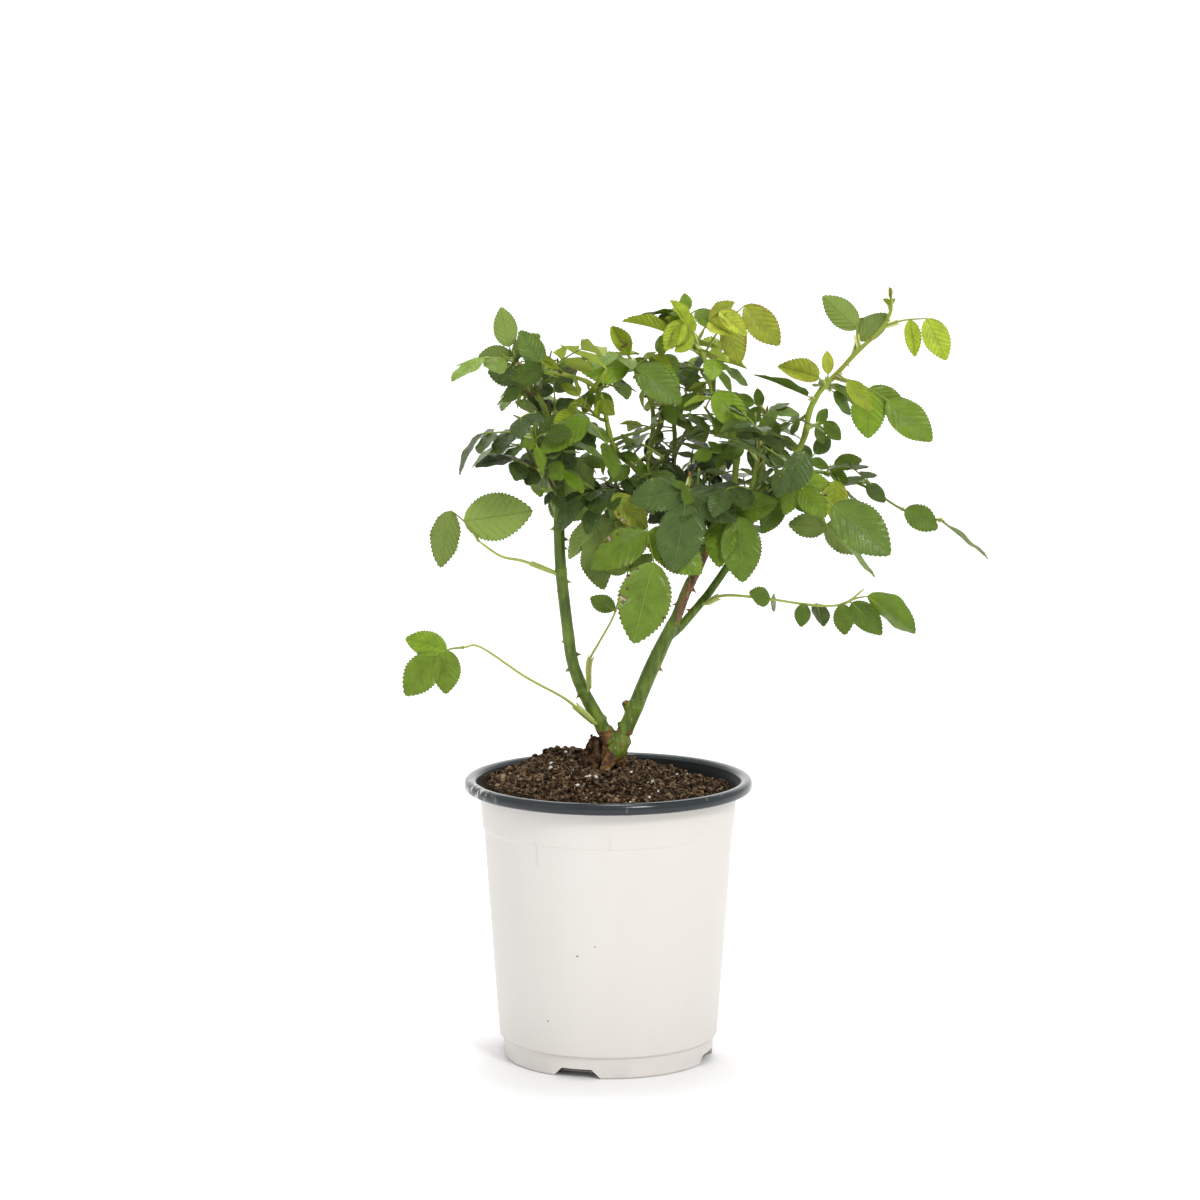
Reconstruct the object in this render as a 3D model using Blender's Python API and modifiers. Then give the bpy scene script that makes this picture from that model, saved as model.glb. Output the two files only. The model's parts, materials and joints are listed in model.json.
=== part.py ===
"""A young rose bush in its round nursery pot, built in metres with +Z up.

The origin is the middle of the pot's flat underside and -Y is the front. The canes
and boughs are tapering limbs laid out by leg lengths, headings and rises. Each mass
of leaves is one shoot: a stem that starts 0.3 mm clear of its bough, with compound
leaves set by named sizes and more of them added by a seeded rule. A leaf or leaflet
that would touch another mass or a limb is left out.
"""

import math
import random
from dataclasses import dataclass, field

import bmesh
import bpy
from mathutils import Matrix, Vector
from mathutils.bvhtree import BVHTree

MM = 0.001
GAP = 0.3
SHARP = math.radians(50)

# Pot, in millimetres
POT_HEIGHT = 117.8
RIM_RADIUS = 60.0
FLOOR = 1.2
POT_SIDES = 40
NOTCHES = 4
NOTCH_HEADING = 252.4
NOTCH_HEIGHT = 3.7
NOTCH_WIDE = 20.2
NOTCH_NARROW = 13.0

# Potting mix, in millimetres
PAD_HEIGHT = 120.6
PAD_RADIUS = 16.5
MIX_RINGS = (8.0, 16.5, 25.0, 34.0, 44.0)

# Where the two canes sit on the crown, in millimetres
SEAT_LEFT = Vector((-1.3, 2.0, 136.4))
SEAT_RIGHT = Vector((6.6, 2.0, 136.4))

# Compound leaves
PAIR_PLACES = {0: (), 1: (0.62,), 2: (0.42, 0.78), 3: (0.36, 0.60, 0.84)}
LEAF_WIDTH = 0.62
BROAD = ((0.14, 0.62), (0.45, 1.0), (0.80, 0.70))
SLIM = ((0.30, 0.95), (0.72, 0.80))
BROAD_FROM = 25.0
ROOT = 0.08
NECK = 0.9
BLADE_THICKNESS = 0.36
GUARD = 0.22
TRIES = 9
FUSE_TRIES = 6
NUDGE = 0.02


@dataclass
class Limb:
    """A cane or bough: its parent, its place there, and its legs (mm, heading, rise)."""

    name: str
    parent: str
    at: float
    legs: tuple
    radii: tuple
    sides: int = 10
    colour: tuple = (0.22, 0.34, 0.10)


@dataclass
class Leaf:
    """A compound leaf: its stalk from the stem, then the end leaflet and its pairs."""

    at: float
    heading: float
    rise: float
    reach: float
    pairs: int
    blade: float
    tip_heading: float
    tip_rise: float
    roll: float
    spread: float = 58.0
    hang: float = 0.15
    side: int = 0
    small: float = 0.86


@dataclass
class Shoot:
    """A mass of leaves: one stem, its set leaves and the number added by the rule."""

    name: str
    parent: str
    at: float
    legs: tuple
    radii: tuple
    leaves: tuple = ()
    extra: int = 0
    extra_blade: float = 17.0
    seed: int = 1
    sides: int = 5
    colour: tuple = (0.14, 0.27, 0.06)
    made: list = field(default_factory=list)


LIMBS = (
    Limb("left_cane", "crown_left", 1.0,
         ((9.6, 200, 61), (11.4, 202, 62), (12.9, 206, 69), (15.2, 224, 79), (23.4, 219, 82),
          (17.6, 232, 86), (16.5, 0, 90), (14.4, 148, 82)),
         (3.1, 2.9, 2.7, 2.6, 2.5, 2.45, 2.4, 2.3, 2.0)),
    Limb("right_cane", "crown_right", 1.0,
         ((9.8, 0, 66), (13.4, 349, 68), (10.3, 346, 66), (12.0, 338, 64), (8.6, 345, 64),
          (12.0, 334, 68), (10.9, 348, 63), (10.2, 346, 66), (7.7, 345, 61)),
         (3.3, 3.3, 3.3, 3.3, 2.8, 2.4, 2.2, 2.1, 2.0, 1.9)),
    Limb("outer_bough", "right_cane", 0.50,
         ((9.8, 12, 48), (9.7, 24, 47), (18.1, 22, 53), (15.3, 24, 61), (12.7, 22, 65)),
         (1.9, 1.85, 1.75, 1.65, 1.5, 1.3), 8),
    Limb("right_bough", "right_cane", 1.0,
         ((10.0, 353, 41), (9.7, 0, 37), (9.7, 7, 36)), (1.7, 1.6, 1.5, 1.4), 8,
         (0.30, 0.20, 0.08)),
    Limb("centre_bough", "right_cane", 0.86,
         ((8.7, 135, 49), (13.2, 169, 48), (12.2, 168, 45), (8.8, 170, 48)),
         (1.5, 1.45, 1.35, 1.25, 1.1), 8),
)

SHOOTS = (
    Shoot("low_left_leaf", "left_cane", 0.09,
          ((11.3, 222, 38), (9.6, 211, 37), (18.8, 202, 30), (22.3, 193, 35), (7.2, 196, 2)),
          (0.9, 0.75, 0.6, 0.55, 0.5, 0.45),
          (
              Leaf(1.0, 191, -12, 11, 1, 22, 190, -50, -70, spread=57),
          ), 0, 17, 11, colour=(0.28, 0.42, 0.08)),
    Shoot("mid_left_leaf", "left_cane", 0.625,
          ((13.9, 198, 22), (9.9, 192, 14), (11.2, 193, 35)),
          (0.8, 0.65, 0.55, 0.5),
          (
              Leaf(1.0, 190, 49, 17, 1, 24, 215, -72, 100, spread=160, side=1, small=1.25),
          ), 0, 17, 12, colour=(0.14, 0.27, 0.06)),
    Shoot("inner_low_leaf", "left_cane", 0.25,
          ((13.3, 270, 63), (10.7, 316, 57), (11.4, 339, 60), (9.9, 343, 70)),
          (0.75, 0.6, 0.5, 0.5, 0.45),
          (
              Leaf(0.84, 260, 41, 1, 0, 13, 205, 30, 70),
              Leaf(1.00, 62, 65, 19, 1, 15, 130, 60, 135),
          ), 0, 17, 13, colour=(0.14, 0.27, 0.06)),
    Shoot("right_low_leaf", "outer_bough", 0.3,
          ((9.2, 339, 24), (18.6, 341, -2), (18.5, 347, -6), (12.4, 351, 3),
           (11.2, 347, 36)),
          (0.8, 0.65, 0.55, 0.5, 0.5, 0.45),
          (
              Leaf(0.40, 287, -7, 2, 0, 12, 225, 20, -85),
              Leaf(0.41, 87, -19, 2, 0, 11, 70, -20, 90),
              Leaf(0.56, 266, 14, 3, 0, 10, 245, -65, -25),
              Leaf(0.62, 80, 15, 2, 0, 12, 55, -55, -5),
              Leaf(0.80, 268, 13, 2, 0, 13, 280, -65, 10),
              Leaf(0.83, 51, -5, 4, 0, 19, 20, -45, -70),
              Leaf(0.83, 353, 18, 9, 0, 25, 350, -30, -45),
          ), 0, 17, 14, colour=(0.19, 0.33, 0.08)),
    Shoot("centre_front_leaves", "right_cane", 0.93,
          ((12.2, 246, 57), (9.9, 237, 61), (7.6, 230, 70)),
          (1.1, 1.0, 0.9, 0.8),
          (
              Leaf(1.00, 259, -36, 15, 1, 29, 225, -80, -45, spread=80),
              Leaf(0.67, 122, 0, 12, 1, 19, 160, -22, -75),
              Leaf(0.26, 323, 7, 19, 1, 27, 290, -80, 20),
          ), 0, 20, 15, colour=(0.07, 0.16, 0.05)),
    Shoot("left_centre_leaves", "centre_bough", 0.75,
          ((7.8, 230, -1), (8.5, 226, -12), (10.9, 216, -21)),
          (1.1, 1.0, 0.9, 0.8),
          (
              Leaf(0.54, 230, 52, 40, 1, 25, 210, -25, -30, spread=75),
              Leaf(0.96, 148, 34, 12, 1, 21, 145, -3, 75),
              Leaf(1.00, 251, -1, 6, 0, 12, 225, -60, -40),
              Leaf(0.84, 134, -53, 15, 1, 27, 75, -75, -50, spread=45),
              Leaf(0.67, 252, 6, 11, 0, 20, 345, -45, 65),
              Leaf(0.49, 290, -42, 39, 1, 34, 220, -70, -55, spread=62),
          ), 2, 18, 16, colour=(0.14, 0.27, 0.06)),
    Shoot("right_tall_shoot", "right_bough", 1.0,
          ((14.8, 26, 51), (8.7, 28, 61), (10.5, 44, 74), (9.9, 0, 61), (8.1, 0, 45),
           (12.9, 347, 48), (12.9, 348, 43), (8.4, 0, 61), (7.4, 0, 87)),
          (1.3, 1.25, 1.2, 1.1, 1.05, 0.95, 0.85, 0.75, 0.65, 0.5),
          (
              Leaf(0.46, 241, 41, 6, 0, 18, 195, 20, -75),
              Leaf(0.38, 247, 16, 9, 0, 26, 200, 25, 5),
              Leaf(0.48, 355, 79, 4, 0, 10, 100, 80, -10),
              Leaf(0.56, 286, -8, 13, 0, 16, 330, -45, 55),
              Leaf(0.46, 55, -20, 8, 0, 13, 15, -50, 50),
              Leaf(0.54, 349, -22, 24, 1, 25, 340, -40, 65, hang=1.0),
              Leaf(0.64, 63, 62, 13, 1, 20, 155, 40, 100, side=1),
              Leaf(0.68, 94, 56, 14, 0, 11, 0, -37, 70),
              Leaf(0.90, 180, 87, 5, 1, 5, 180, 90, -90),
              Leaf(0.80, 0, 11, 18, 1, 19, 335, -60, 60, side=-1),
              Leaf(0.32, 150, -31, 10, 1, 9, 165, -20, -35),
              Leaf(0.24, 38, 17, 10, 1, 11, 15, -40, 80),
          ), 1, 15, 17, colour=(0.28, 0.42, 0.08)),
    Shoot("arching_shoot", "centre_bough", 1.0,
          ((12.3, 230, 33), (9.6, 222, 62), (14.4, 248, 63), (8.8, 228, 52),
           (8.1, 196, 28), (13.8, 189, 13), (9.6, 180, 15)),
          (1.1, 1.1, 1.05, 1.0, 0.95, 0.85, 0.7, 0.6),
          (
              Leaf(0.85, 236, 38, 3, 1, 18, 160, 55, -60, side=1),
              Leaf(0.65, 73, -33, 12, 1, 13, 35, -35, 95),
              Leaf(0.29, 146, -9, 11, 1, 9, 150, 15, -60),
          ), 2, 16, 18, colour=(0.28, 0.42, 0.08)),
    Shoot("upper_left_shoot", "left_cane", 1.0,
          ((17.2, 180, 79), (12.8, 197, 58), (11.1, 201, 60)),
          (1.6, 1.3, 1.05, 0.8),
          (
              Leaf(0.97, 208, 60, 9, 1, 17, 120, 65, 145, spread=66),
              Leaf(0.62, 124, 29, 8, 1, 16, 165, 15, -65, side=1),
              Leaf(0.09, 111, -23, 13, 1, 15, 160, -25, -35),
              Leaf(0.21, 308, -20, 11, 1, 20, 220, -77, -45, spread=50),
              Leaf(0.39, 67, 3, 13, 1, 12, 30, 5, 25),
              Leaf(0.19, 84, 65, 21, 2, 12, 140, 63, -50),
          ), 2, 17, 19, colour=(0.14, 0.27, 0.06)),
    Shoot("centre_top_shoot", "right_bough", 0.33,
          ((14.9, 67, 77), (9.5, 68, 83), (8.0, 193, 57), (18.2, 180, 71),
           (13.5, 163, 75), (5.2, 158, 59), (13.5, 141, 62)),
          (1.4, 1.35, 1.3, 1.1, 1.0, 0.9, 0.8, 0.6),
          (
              Leaf(0.55, 269, 14, 8, 0, 20, 335, -45, 60),
              Leaf(0.56, 261, -17, 6, 0, 12, 190, -10, 0),
              Leaf(0.63, 58, 6, 14, 1, 13, 20, -35, 40),
              Leaf(0.88, 334, 52, 17, 1, 16, 325, -35, 50, spread=35),
              Leaf(0.73, 27, 46, 28, 1, 22, 350, -50, 75, hang=1.6, small=0.9),
              Leaf(0.86, 215, 57, 13, 2, 15, 215, -50, -50, spread=50),
              Leaf(0.59, 122, 26, 18, 1, 11, 155, -35, -40),
              Leaf(0.20, 213, 18, 13, 1, 9, 210, -15, -65),
              Leaf(0.99, 78, 83, 3, 0, 8, 110, 75, -20),
          ), 1, 16, 20, colour=(0.28, 0.42, 0.08)),
    Shoot("top_centre_shoot", "centre_bough", 0.85,
          ((9.4, 67, 70), (10.5, 0, 83), (10.8, 247, 78), (13.7, 217, 61), (6.2, 215, 55)),
          (1.1, 1.05, 1.0, 0.9, 0.8, 0.7),
          (
              Leaf(0.96, 258, -2, 7, 0, 21, 200, -1, -70),
              Leaf(0.98, 111, 24, 4, 0, 16, 175, -5, 5),
              Leaf(0.93, 273, 4, 13, 0, 24, 345, -35, 65),
              Leaf(0.69, 10, 55, 37, 2, 13, 350, -35, 35, spread=72),
              Leaf(0.80, 154, 61, 9, 0, 14, 165, 60, -65),
              Leaf(0.59, 312, 3, 15, 1, 12, 350, 10, 75),
              Leaf(0.2, 248, -9, 23, 1, 11, 215, -25, -60),
          ), 2, 16, 41, colour=(0.28, 0.42, 0.08)),
    Shoot("trailing_shoot", "right_bough", 0.82,
          ((15.9, 44, 25), (17.3, 13, -3), (17.2, 0, -20), (17.5, 345, -30),
           (15.0, 352, -15)),
          (0.9, 0.8, 0.7, 0.6, 0.5, 0.45),
          (
              Leaf(0.39, 308, 39, 6, 1, 12, 350, 15, 75, side=-1),
              Leaf(0.54, 332, -3, 5, 0, 11, 345, -45, 65),
              Leaf(0.79, 286, 2, 4, 0, 16, 345, -25, 65),
              Leaf(1.00, 0, -27, 2, 0, 25, 355, -36, -10),
              Leaf(0.38, 287, -7, 14, 0, 17, 255, -75, -10),
              Leaf(0.43, 291, -24, 12, 0, 27, 355, -55, -10),
              Leaf(0.28, 50, 39, 10, 1, 11, 30, 40, 55),
          ), 1, 15, 22, colour=(0.07, 0.16, 0.05)),
    Shoot("lower_right_leaves", "outer_bough", 1.0,
          ((9.9, 320, 19), (12.3, 305, 5), (11.4, 311, -21)),
          (1.1, 1.0, 0.9, 0.8),
          (
              Leaf(0.96, 293, -6, 16, 0, 31, 340, -35, 65),
              Leaf(0.85, 350, -63, 15, 0, 22, 20, -30, -75),
              Leaf(0.86, 340, -63, 16, 0, 16, 165, 5, 85),
              Leaf(0.88, 336, -58, 20, 0, 24, -5, -40, -10),
              Leaf(0.44, 258, -14, 12, 0, 18, 215, -55, -50),
              Leaf(0.63, 73, -3, 12, 1, 18, 30, -15, 30),
              Leaf(0.70, 223, -17, 5, 0, 11, 315, -45, 40),
          ), 2, 18, 23, colour=(0.07, 0.16, 0.05)),
    Shoot("mid_right_leaves", "right_bough", 0.92,
          ((7.8, 302, 24), (9.4, 312, 31)),
          (0.9, 0.85, 0.75),
          (
              Leaf(1.00, 302, 50, 11, 0, 18, 225, -60, -45),
              Leaf(0.80, 259, 17, 13, 0, 12, 230, -65, -30),
              Leaf(0.80, 21, -49, 7, 1, 17, 325, -40, 60),
          ), 1, 16, 24, colour=(0.07, 0.16, 0.05)),
    Shoot("upper_mid_leaves", "right_bough", 0.62,
          ((13.5, 61, 47), (12.8, 66, 70), (11.6, 0, 86)),
          (1.0, 0.95, 0.9, 0.7),
          (
              Leaf(1.00, 308, 22, 3, 1, 12, 350, -5, 30),
              Leaf(0.84, 253, 24, 9, 0, 12, 315, -35, 55),
              Leaf(0.96, 230, 34, 10, 1, 10, 190, 15, -75),
              Leaf(0.55, 237, 9, 16, 1, 11, 200, -20, -65),
          ), 2, 15, 25, colour=(0.14, 0.27, 0.06)),
    Shoot("front_left_leaves", "left_cane", 0.86,
          ((12, 250, 35), (14, 240, 52), (12, 250, 62)),
          (1.0, 0.95, 0.9, 0.7),
          (), 4, 17, 26, colour=(0.14, 0.27, 0.06)),
    Shoot("front_right_leaves", "right_bough", 0.5,
          ((12, 290, 45), (14, 285, 58), (12, 300, 62)),
          (1.0, 0.95, 0.9, 0.7),
          (), 4, 16, 27, colour=(0.07, 0.16, 0.05)),
    Shoot("rear_left_shoot", "left_cane", 0.8,
          ((16, 110, 40), (16, 118, 55), (16, 95, 60), (12, 80, 70)),
          (1.1, 1.05, 1.0, 0.9, 0.7),
          (), 5, 18, 28, colour=(0.14, 0.27, 0.06)),
    Shoot("rear_centre_shoot", "centre_bough", 0.45,
          ((16, 95, 40), (18, 85, 55), (16, 95, 60), (12, 100, 70)),
          (1.1, 1.05, 1.0, 0.9, 0.7),
          (), 5, 18, 29, colour=(0.14, 0.27, 0.06)),
    Shoot("rear_right_shoot", "outer_bough", 0.62,
          ((16, 60, 42), (18, 72, 52), (16, 80, 58), (12, 70, 66)),
          (1.1, 1.05, 1.0, 0.9, 0.7),
          (), 5, 18, 30, colour=(0.14, 0.27, 0.06)),
    Shoot("rear_low_shoot", "outer_bough", 0.85,
          ((16, 142, 20), (16, 128, 16), (12, 120, 4)),
          (1.0, 0.95, 0.85, 0.7),
          (), 3, 18, 31, colour=(0.07, 0.16, 0.05)),
)


def aim(heading, rise):
    """The unit direction of a heading round +Z from +X and a rise above level."""
    turn, lift = math.radians(heading), math.radians(rise)
    flat = math.cos(lift)
    return Vector((flat * math.cos(turn), flat * math.sin(turn), math.sin(lift)))


def across(direction, like):
    """The part of a vector that is square to a direction, as a unit vector."""
    square = like - direction * like.dot(direction)
    if square.length < 1e-6:
        square = direction.orthogonal()
    return square.normalized()


def walk(start, legs):
    """The corners of a path that starts at a point and takes each leg in turn."""
    points = [Vector(start)]
    for length, heading, rise in legs:
        points.append(points[-1] + aim(heading, rise) * length)
    return points


def on_path(points, place):
    """The point at a place from 0 to 1 on the smooth curve through the corners."""
    last = len(points) - 1
    reach = min(max(place, 0.0), 1.0) * last
    i = min(int(reach), last - 1)
    t = reach - i
    p1, p2 = points[i], points[i + 1]
    p0 = points[i - 1] if i > 0 else p1 * 2 - p2
    p3 = points[i + 2] if i + 2 <= last else p2 * 2 - p1
    return 0.5 * (2 * p1 + (p2 - p0) * t + (2 * p0 - 5 * p1 + 4 * p2 - p3) * t * t
                  + (3 * p1 - p0 - 3 * p2 + p3) * t ** 3)


def way_at(points, place):
    """The unit direction of the smooth curve at a place."""
    ahead = on_path(points, min(place + 0.01, 1.0))
    return (ahead - on_path(points, max(place - 0.01, 0.0))).normalized()


def at_place(values, place):
    """A value read between evenly spaced ones."""
    reach = min(max(place, 0.0), 1.0) * (len(values) - 1)
    i = min(int(reach), len(values) - 2)
    return values[i] + (values[i + 1] - values[i]) * (reach - i)


def side_start(parent_points, parent_radii, place, way, radius):
    """Where a branch starts so that its flat foot is clear of its parent's side."""
    axis = way_at(parent_points, place)
    centre = on_path(parent_points, place)
    if place >= 1.0:
        tilt = math.sqrt(max(1.0 - way.dot(axis) ** 2, 0.0))
        return centre + axis * (GAP + radius * tilt)
    out = across(axis, way)
    off = at_place(parent_radii, place) + GAP + radius * abs(way.dot(axis))
    return centre + out * off


# Guards: plain closed shapes a little larger than a leaf or stalk, for the tests


def guard_tube(points, radii, sides=6):
    """A tube's guard, as vertices and faces."""
    verts, faces = [], []
    for i, point in enumerate(points):
        before = points[max(i - 1, 0)]
        after = points[min(i + 1, len(points) - 1)]
        way = (after - before).normalized()
        side = across(way, Vector((0.13, 0.21, 0.97)))
        up = way.cross(side)
        for k in range(sides):
            angle = 2 * math.pi * k / sides
            verts.append(point + (side * math.cos(angle) + up * math.sin(angle))
                         * (radii[i] + GUARD))
    for i in range(len(points) - 1):
        for k in range(sides):
            a, b = i * sides + k, i * sides + (k + 1) % sides
            faces.append((a, b, b + sides, a + sides))
    return verts, faces


def blade_point(frame, length, t, wide, lift):
    """A point on a blade from its place along, its half width and its height."""
    base, way, side, up = frame
    fold = 0.20 * abs(wide)
    sag = -0.10 * length * t * t
    return base + way * (length * t) + side * wide + up * (fold + sag + lift)


def guard_blade(frame, length, whole=True):
    """A blade's guard: two sheets over all of it, or over a slim core of it."""
    half = LEAF_WIDTH * length / 2 * (1.0 if whole else 0.72)
    first = ((-0.02, 0.10), (0.12, 0.66)) if whole else ((0.30, 0.86), (0.38, 0.96))
    stations = first + ((0.50, 1.0), (0.75, 0.78), (1.02 if whole else 0.94, 0.10))
    verts, faces = [], []
    for t, width in stations:
        wide = half * width + GUARD
        for x in (-wide, 0.0, wide):
            for lift in (GUARD + 0.2, -GUARD - 0.2):
                verts.append(blade_point(frame, length, t, x, lift))
    for i in range(len(stations) - 1):
        for k in range(2):
            for lift in range(2):
                a = i * 6 + k * 2 + lift
                faces.append((a, a + 2, a + 8, a + 6))
    return verts, faces


def tree_of(shape):
    """A search tree of a guard."""
    return BVHTree.FromPolygons([v[:] for v in shape[0]], shape[1])


# Growth


def leaf_frame(base, way, normal, root=0.0):
    """A blade's frame, with its base inside the stalk that carries it."""
    up = across(way, normal)
    return base + way * root, way, way.cross(up), up


def plan_leaf(leaf, stem, turn=0.0):
    """A compound leaf's stalk points and its leaflets, each a frame and a length."""
    start = on_path(stem, leaf.at)
    chord = aim(leaf.heading + turn, leaf.rise + turn * 0.2)
    tip = aim(leaf.tip_heading + turn, leaf.tip_rise)
    end = start + chord * leaf.reach
    bow = (start + end) / 2 - across(chord, tip - chord) * (0.12 * leaf.reach)
    points = [start]
    for t in (0.5, 1.0):
        points.append(start * (1 - t) ** 2 + bow * (2 * t * (1 - t)) + end * t * t)
    flat = across(tip, Vector((0, 0, 1)))
    roll = math.radians(leaf.roll)
    normal = flat * math.cos(roll) + tip.cross(flat) * math.sin(roll)
    blades = [(leaf_frame(end, tip, normal), leaf.blade)]
    for place in PAIR_PLACES[leaf.pairs]:
        centre = on_path(points, place)
        way = (way_at(points, place) + tip * 0.6).normalized()
        up = across(way, normal)
        out = way.cross(up)
        angle = math.radians(leaf.spread)
        for sign in (1, -1):
            if leaf.side and sign != leaf.side:
                continue
            lean = way * math.cos(angle) - out * (sign * math.sin(angle))
            lean = (lean - Vector((0, 0, leaf.hang))).normalized()
            size = leaf.blade * leaf.small * (0.88 + 0.12 * place)
            blades.append((leaf_frame(centre, lean, up, ROOT), size))
    return points, blades


def extra_leaf(shoot, number, dice):
    """A leaf placed by the seeded rule: a spiral up the stem, drooping at its tip."""
    place = 0.25 + 0.75 * (number + dice.random()) / max(shoot.extra, 1)
    heading = 137.5 * number + 360.0 * dice.random()
    blade = shoot.extra_blade * dice.uniform(0.85, 1.15)
    rise = dice.uniform(0, 45)
    return Leaf(min(place, 1.0), heading, rise, blade * dice.uniform(0.9, 1.3), 2, blade,
                heading + dice.uniform(-20, 20), rise - dice.uniform(25, 60),
                dice.uniform(-30, 30))


class Garden:
    """Where every limb and leaf is, and what is taken already."""

    def __init__(self):
        self.paths = {}
        self.radii = {}
        self.taken = []
        self.cores = []

    def lay(self, item):
        """Lay out a limb's or stem's path from its parent."""
        way = aim(item.legs[0][1], item.legs[0][2])
        start = side_start(self.paths[item.parent], self.radii[item.parent], item.at,
                           way, item.radii[0])
        points = walk(start, item.legs)
        self.paths[item.name] = points
        self.radii[item.name] = item.radii
        count = 3 * (len(points) - 1)
        fine = [on_path(points, i / count) for i in range(count + 1)]
        width = [at_place(item.radii, i / count) for i in range(count + 1)]
        self.taken.append((item.name, tree_of(guard_tube(fine, width))))

    def clear_of_others(self, name, shape):
        """Whether a guard is clear of every limb and of every other mass."""
        tree = tree_of(shape)
        return not any(owner != name and tree.overlap(other)
                       for owner, other in self.taken)

    def clear_of_own(self, name, shape):
        """Whether a leaflet's core is clear of the leaflets of its own mass."""
        tree = tree_of(shape)
        return not any(owner == name and tree.overlap(other)
                       for owner, other in self.cores)

    def take(self, name, frame, length):
        """Mark a leaflet's place, and the core of it, as taken."""
        self.taken.append((name, tree_of(guard_blade(frame, length))))
        self.cores.append((name, tree_of(guard_blade(frame, length, False))))

    def grow(self, shoot, leaf, dice, must):
        """Place a compound leaf where its stalk and its end leaflet are free."""
        spare = None
        for attempt in range(TRIES):
            turn = 0.0 if attempt == 0 else dice.uniform(-8, 8) * attempt ** 0.5
            points, blades = plan_leaf(leaf, self.paths[shoot.name], turn)
            stalk = guard_tube(points, (0.5, 0.45, 0.4), 4)
            first = guard_blade(*blades[0])
            if not (self.clear_of_others(shoot.name, stalk)
                    and self.clear_of_others(shoot.name, first)):
                continue
            if self.clear_of_own(shoot.name, first):
                break
            if must and spare is None:
                spare = points, blades, stalk, first
        else:
            if spare is None:
                return
            points, blades, stalk, first = spare
        kept = [blades[0]]
        for frame, length in blades[1:]:
            guard = guard_blade(frame, length)
            if self.clear_of_others(shoot.name, guard) and self.clear_of_own(shoot.name, guard):
                kept.append((frame, length))
        self.taken.append((shoot.name, tree_of(stalk)))
        for frame, length in kept:
            self.take(shoot.name, frame, length)
        shoot.made.append((points, kept))


def grow_everything():
    """Lay out the limbs, the stems, the set leaves and then the added leaves."""
    garden = Garden()
    for limb, seat in ((LIMBS[0], SEAT_LEFT), (LIMBS[1], SEAT_RIGHT)):
        way = aim(limb.legs[0][1], limb.legs[0][2])
        garden.paths[limb.parent] = [seat - way * 5.0, seat]
        garden.radii[limb.parent] = (limb.radii[0], limb.radii[0])
    for limb in LIMBS:
        garden.lay(limb)
    for shoot in SHOOTS:
        garden.lay(shoot)
    for shoot in SHOOTS:
        dice = random.Random(shoot.seed)
        for leaf in shoot.leaves:
            garden.grow(shoot, leaf, dice, True)
    for shoot in SHOOTS:
        dice = random.Random(shoot.seed + 100)
        for number in range(shoot.extra):
            garden.grow(shoot, extra_leaf(shoot, number, dice), dice, False)
    return garden


# Solids


def material(name, colour, roughness, metallic=0.0):
    """A Principled material with plain values."""
    made = bpy.data.materials.new(name)
    made.use_nodes = True
    shader = made.node_tree.nodes["Principled BSDF"]
    shader.inputs["Base Color"].default_value = (*colour, 1.0)
    shader.inputs["Roughness"].default_value = roughness
    shader.inputs["Metallic"].default_value = metallic
    made.diffuse_color = (*colour, 1.0)
    return made


def new_object(name, shape, collection, smooth=False):
    """An object in a collection from a bmesh in millimetres, with normals outward."""
    bmesh.ops.recalc_face_normals(shape, faces=shape.faces[:])
    bmesh.ops.scale(shape, vec=(MM, MM, MM), verts=shape.verts[:])
    mesh = bpy.data.meshes.new(name)
    shape.to_mesh(mesh)
    shape.free()
    if smooth:
        mesh.shade_smooth()
        mesh.set_sharp_from_angle(angle=SHARP)
    made = bpy.data.objects.new(name, mesh)
    collection.objects.link(made)
    return made


def ring_at(point, way, radius):
    """The matrix of a ring of a tube."""
    side = across(way, Vector((0.13, 0.21, 0.97)))
    turn = Matrix((side, way.cross(side), way)).transposed()
    return Matrix.Translation(point) @ turn.to_4x4() @ Matrix.Scale(radius, 4)


def draw_out(shape, order, ring, inner):
    """Extrude the end face of a body to a new ring of points, in the same order."""
    cap = next(f for f in shape.faces if all(v in order for v in f.verts))
    grown = bmesh.ops.extrude_face_region(shape, geom=[cap])["geom"]
    fresh = [v for v in grown if isinstance(v, bmesh.types.BMVert)]
    if inner:
        bmesh.ops.delete(shape, geom=[cap], context="FACES_ONLY")
    order = [min(fresh, key=lambda v, o=old: (v.co - o.co).length) for old in order]
    for vert, spot in zip(order, ring):
        vert.co = spot
    return order


def tube(points, radii, sides):
    """A closed tapering tube, extruded from a disc along its path."""
    shape = bmesh.new()
    circle = [Vector((math.cos(2 * math.pi * k / sides), math.sin(2 * math.pi * k / sides), 0))
              for k in range(sides)]
    disc = bmesh.ops.create_circle(shape, cap_ends=True, segments=sides, radius=1.0)["verts"]
    order = list(disc)
    for i, point in enumerate(points):
        before = points[max(i - 1, 0)]
        after = points[min(i + 1, len(points) - 1)]
        place = ring_at(point, (after - before).normalized(), radii[i])
        ring = [place @ spot for spot in circle]
        if i > 0:
            order = draw_out(shape, order, ring, i > 1)
        else:
            for vert, spot in zip(order, ring):
                vert.co = spot
    return shape


def along(points, radii, per_leg):
    """Points and radii read off a smooth path, a few to each leg."""
    count = per_leg * (len(points) - 1)
    places = [i / count for i in range(count + 1)]
    return ([on_path(points, place) for place in places],
            [at_place(radii, place) for place in places])


def section(frame, length, t, width):
    """A blade's cross-section: its two edges and the keel under its midrib."""
    wide = LEAF_WIDTH * length / 2 * width
    keel = max(BLADE_THICKNESS, 0.012 * length)
    return [blade_point(frame, length, t, wide, 0.0), blade_point(frame, length, t, -wide, 0.0),
            blade_point(frame, length, t, 0.0, -keel)]


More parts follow.
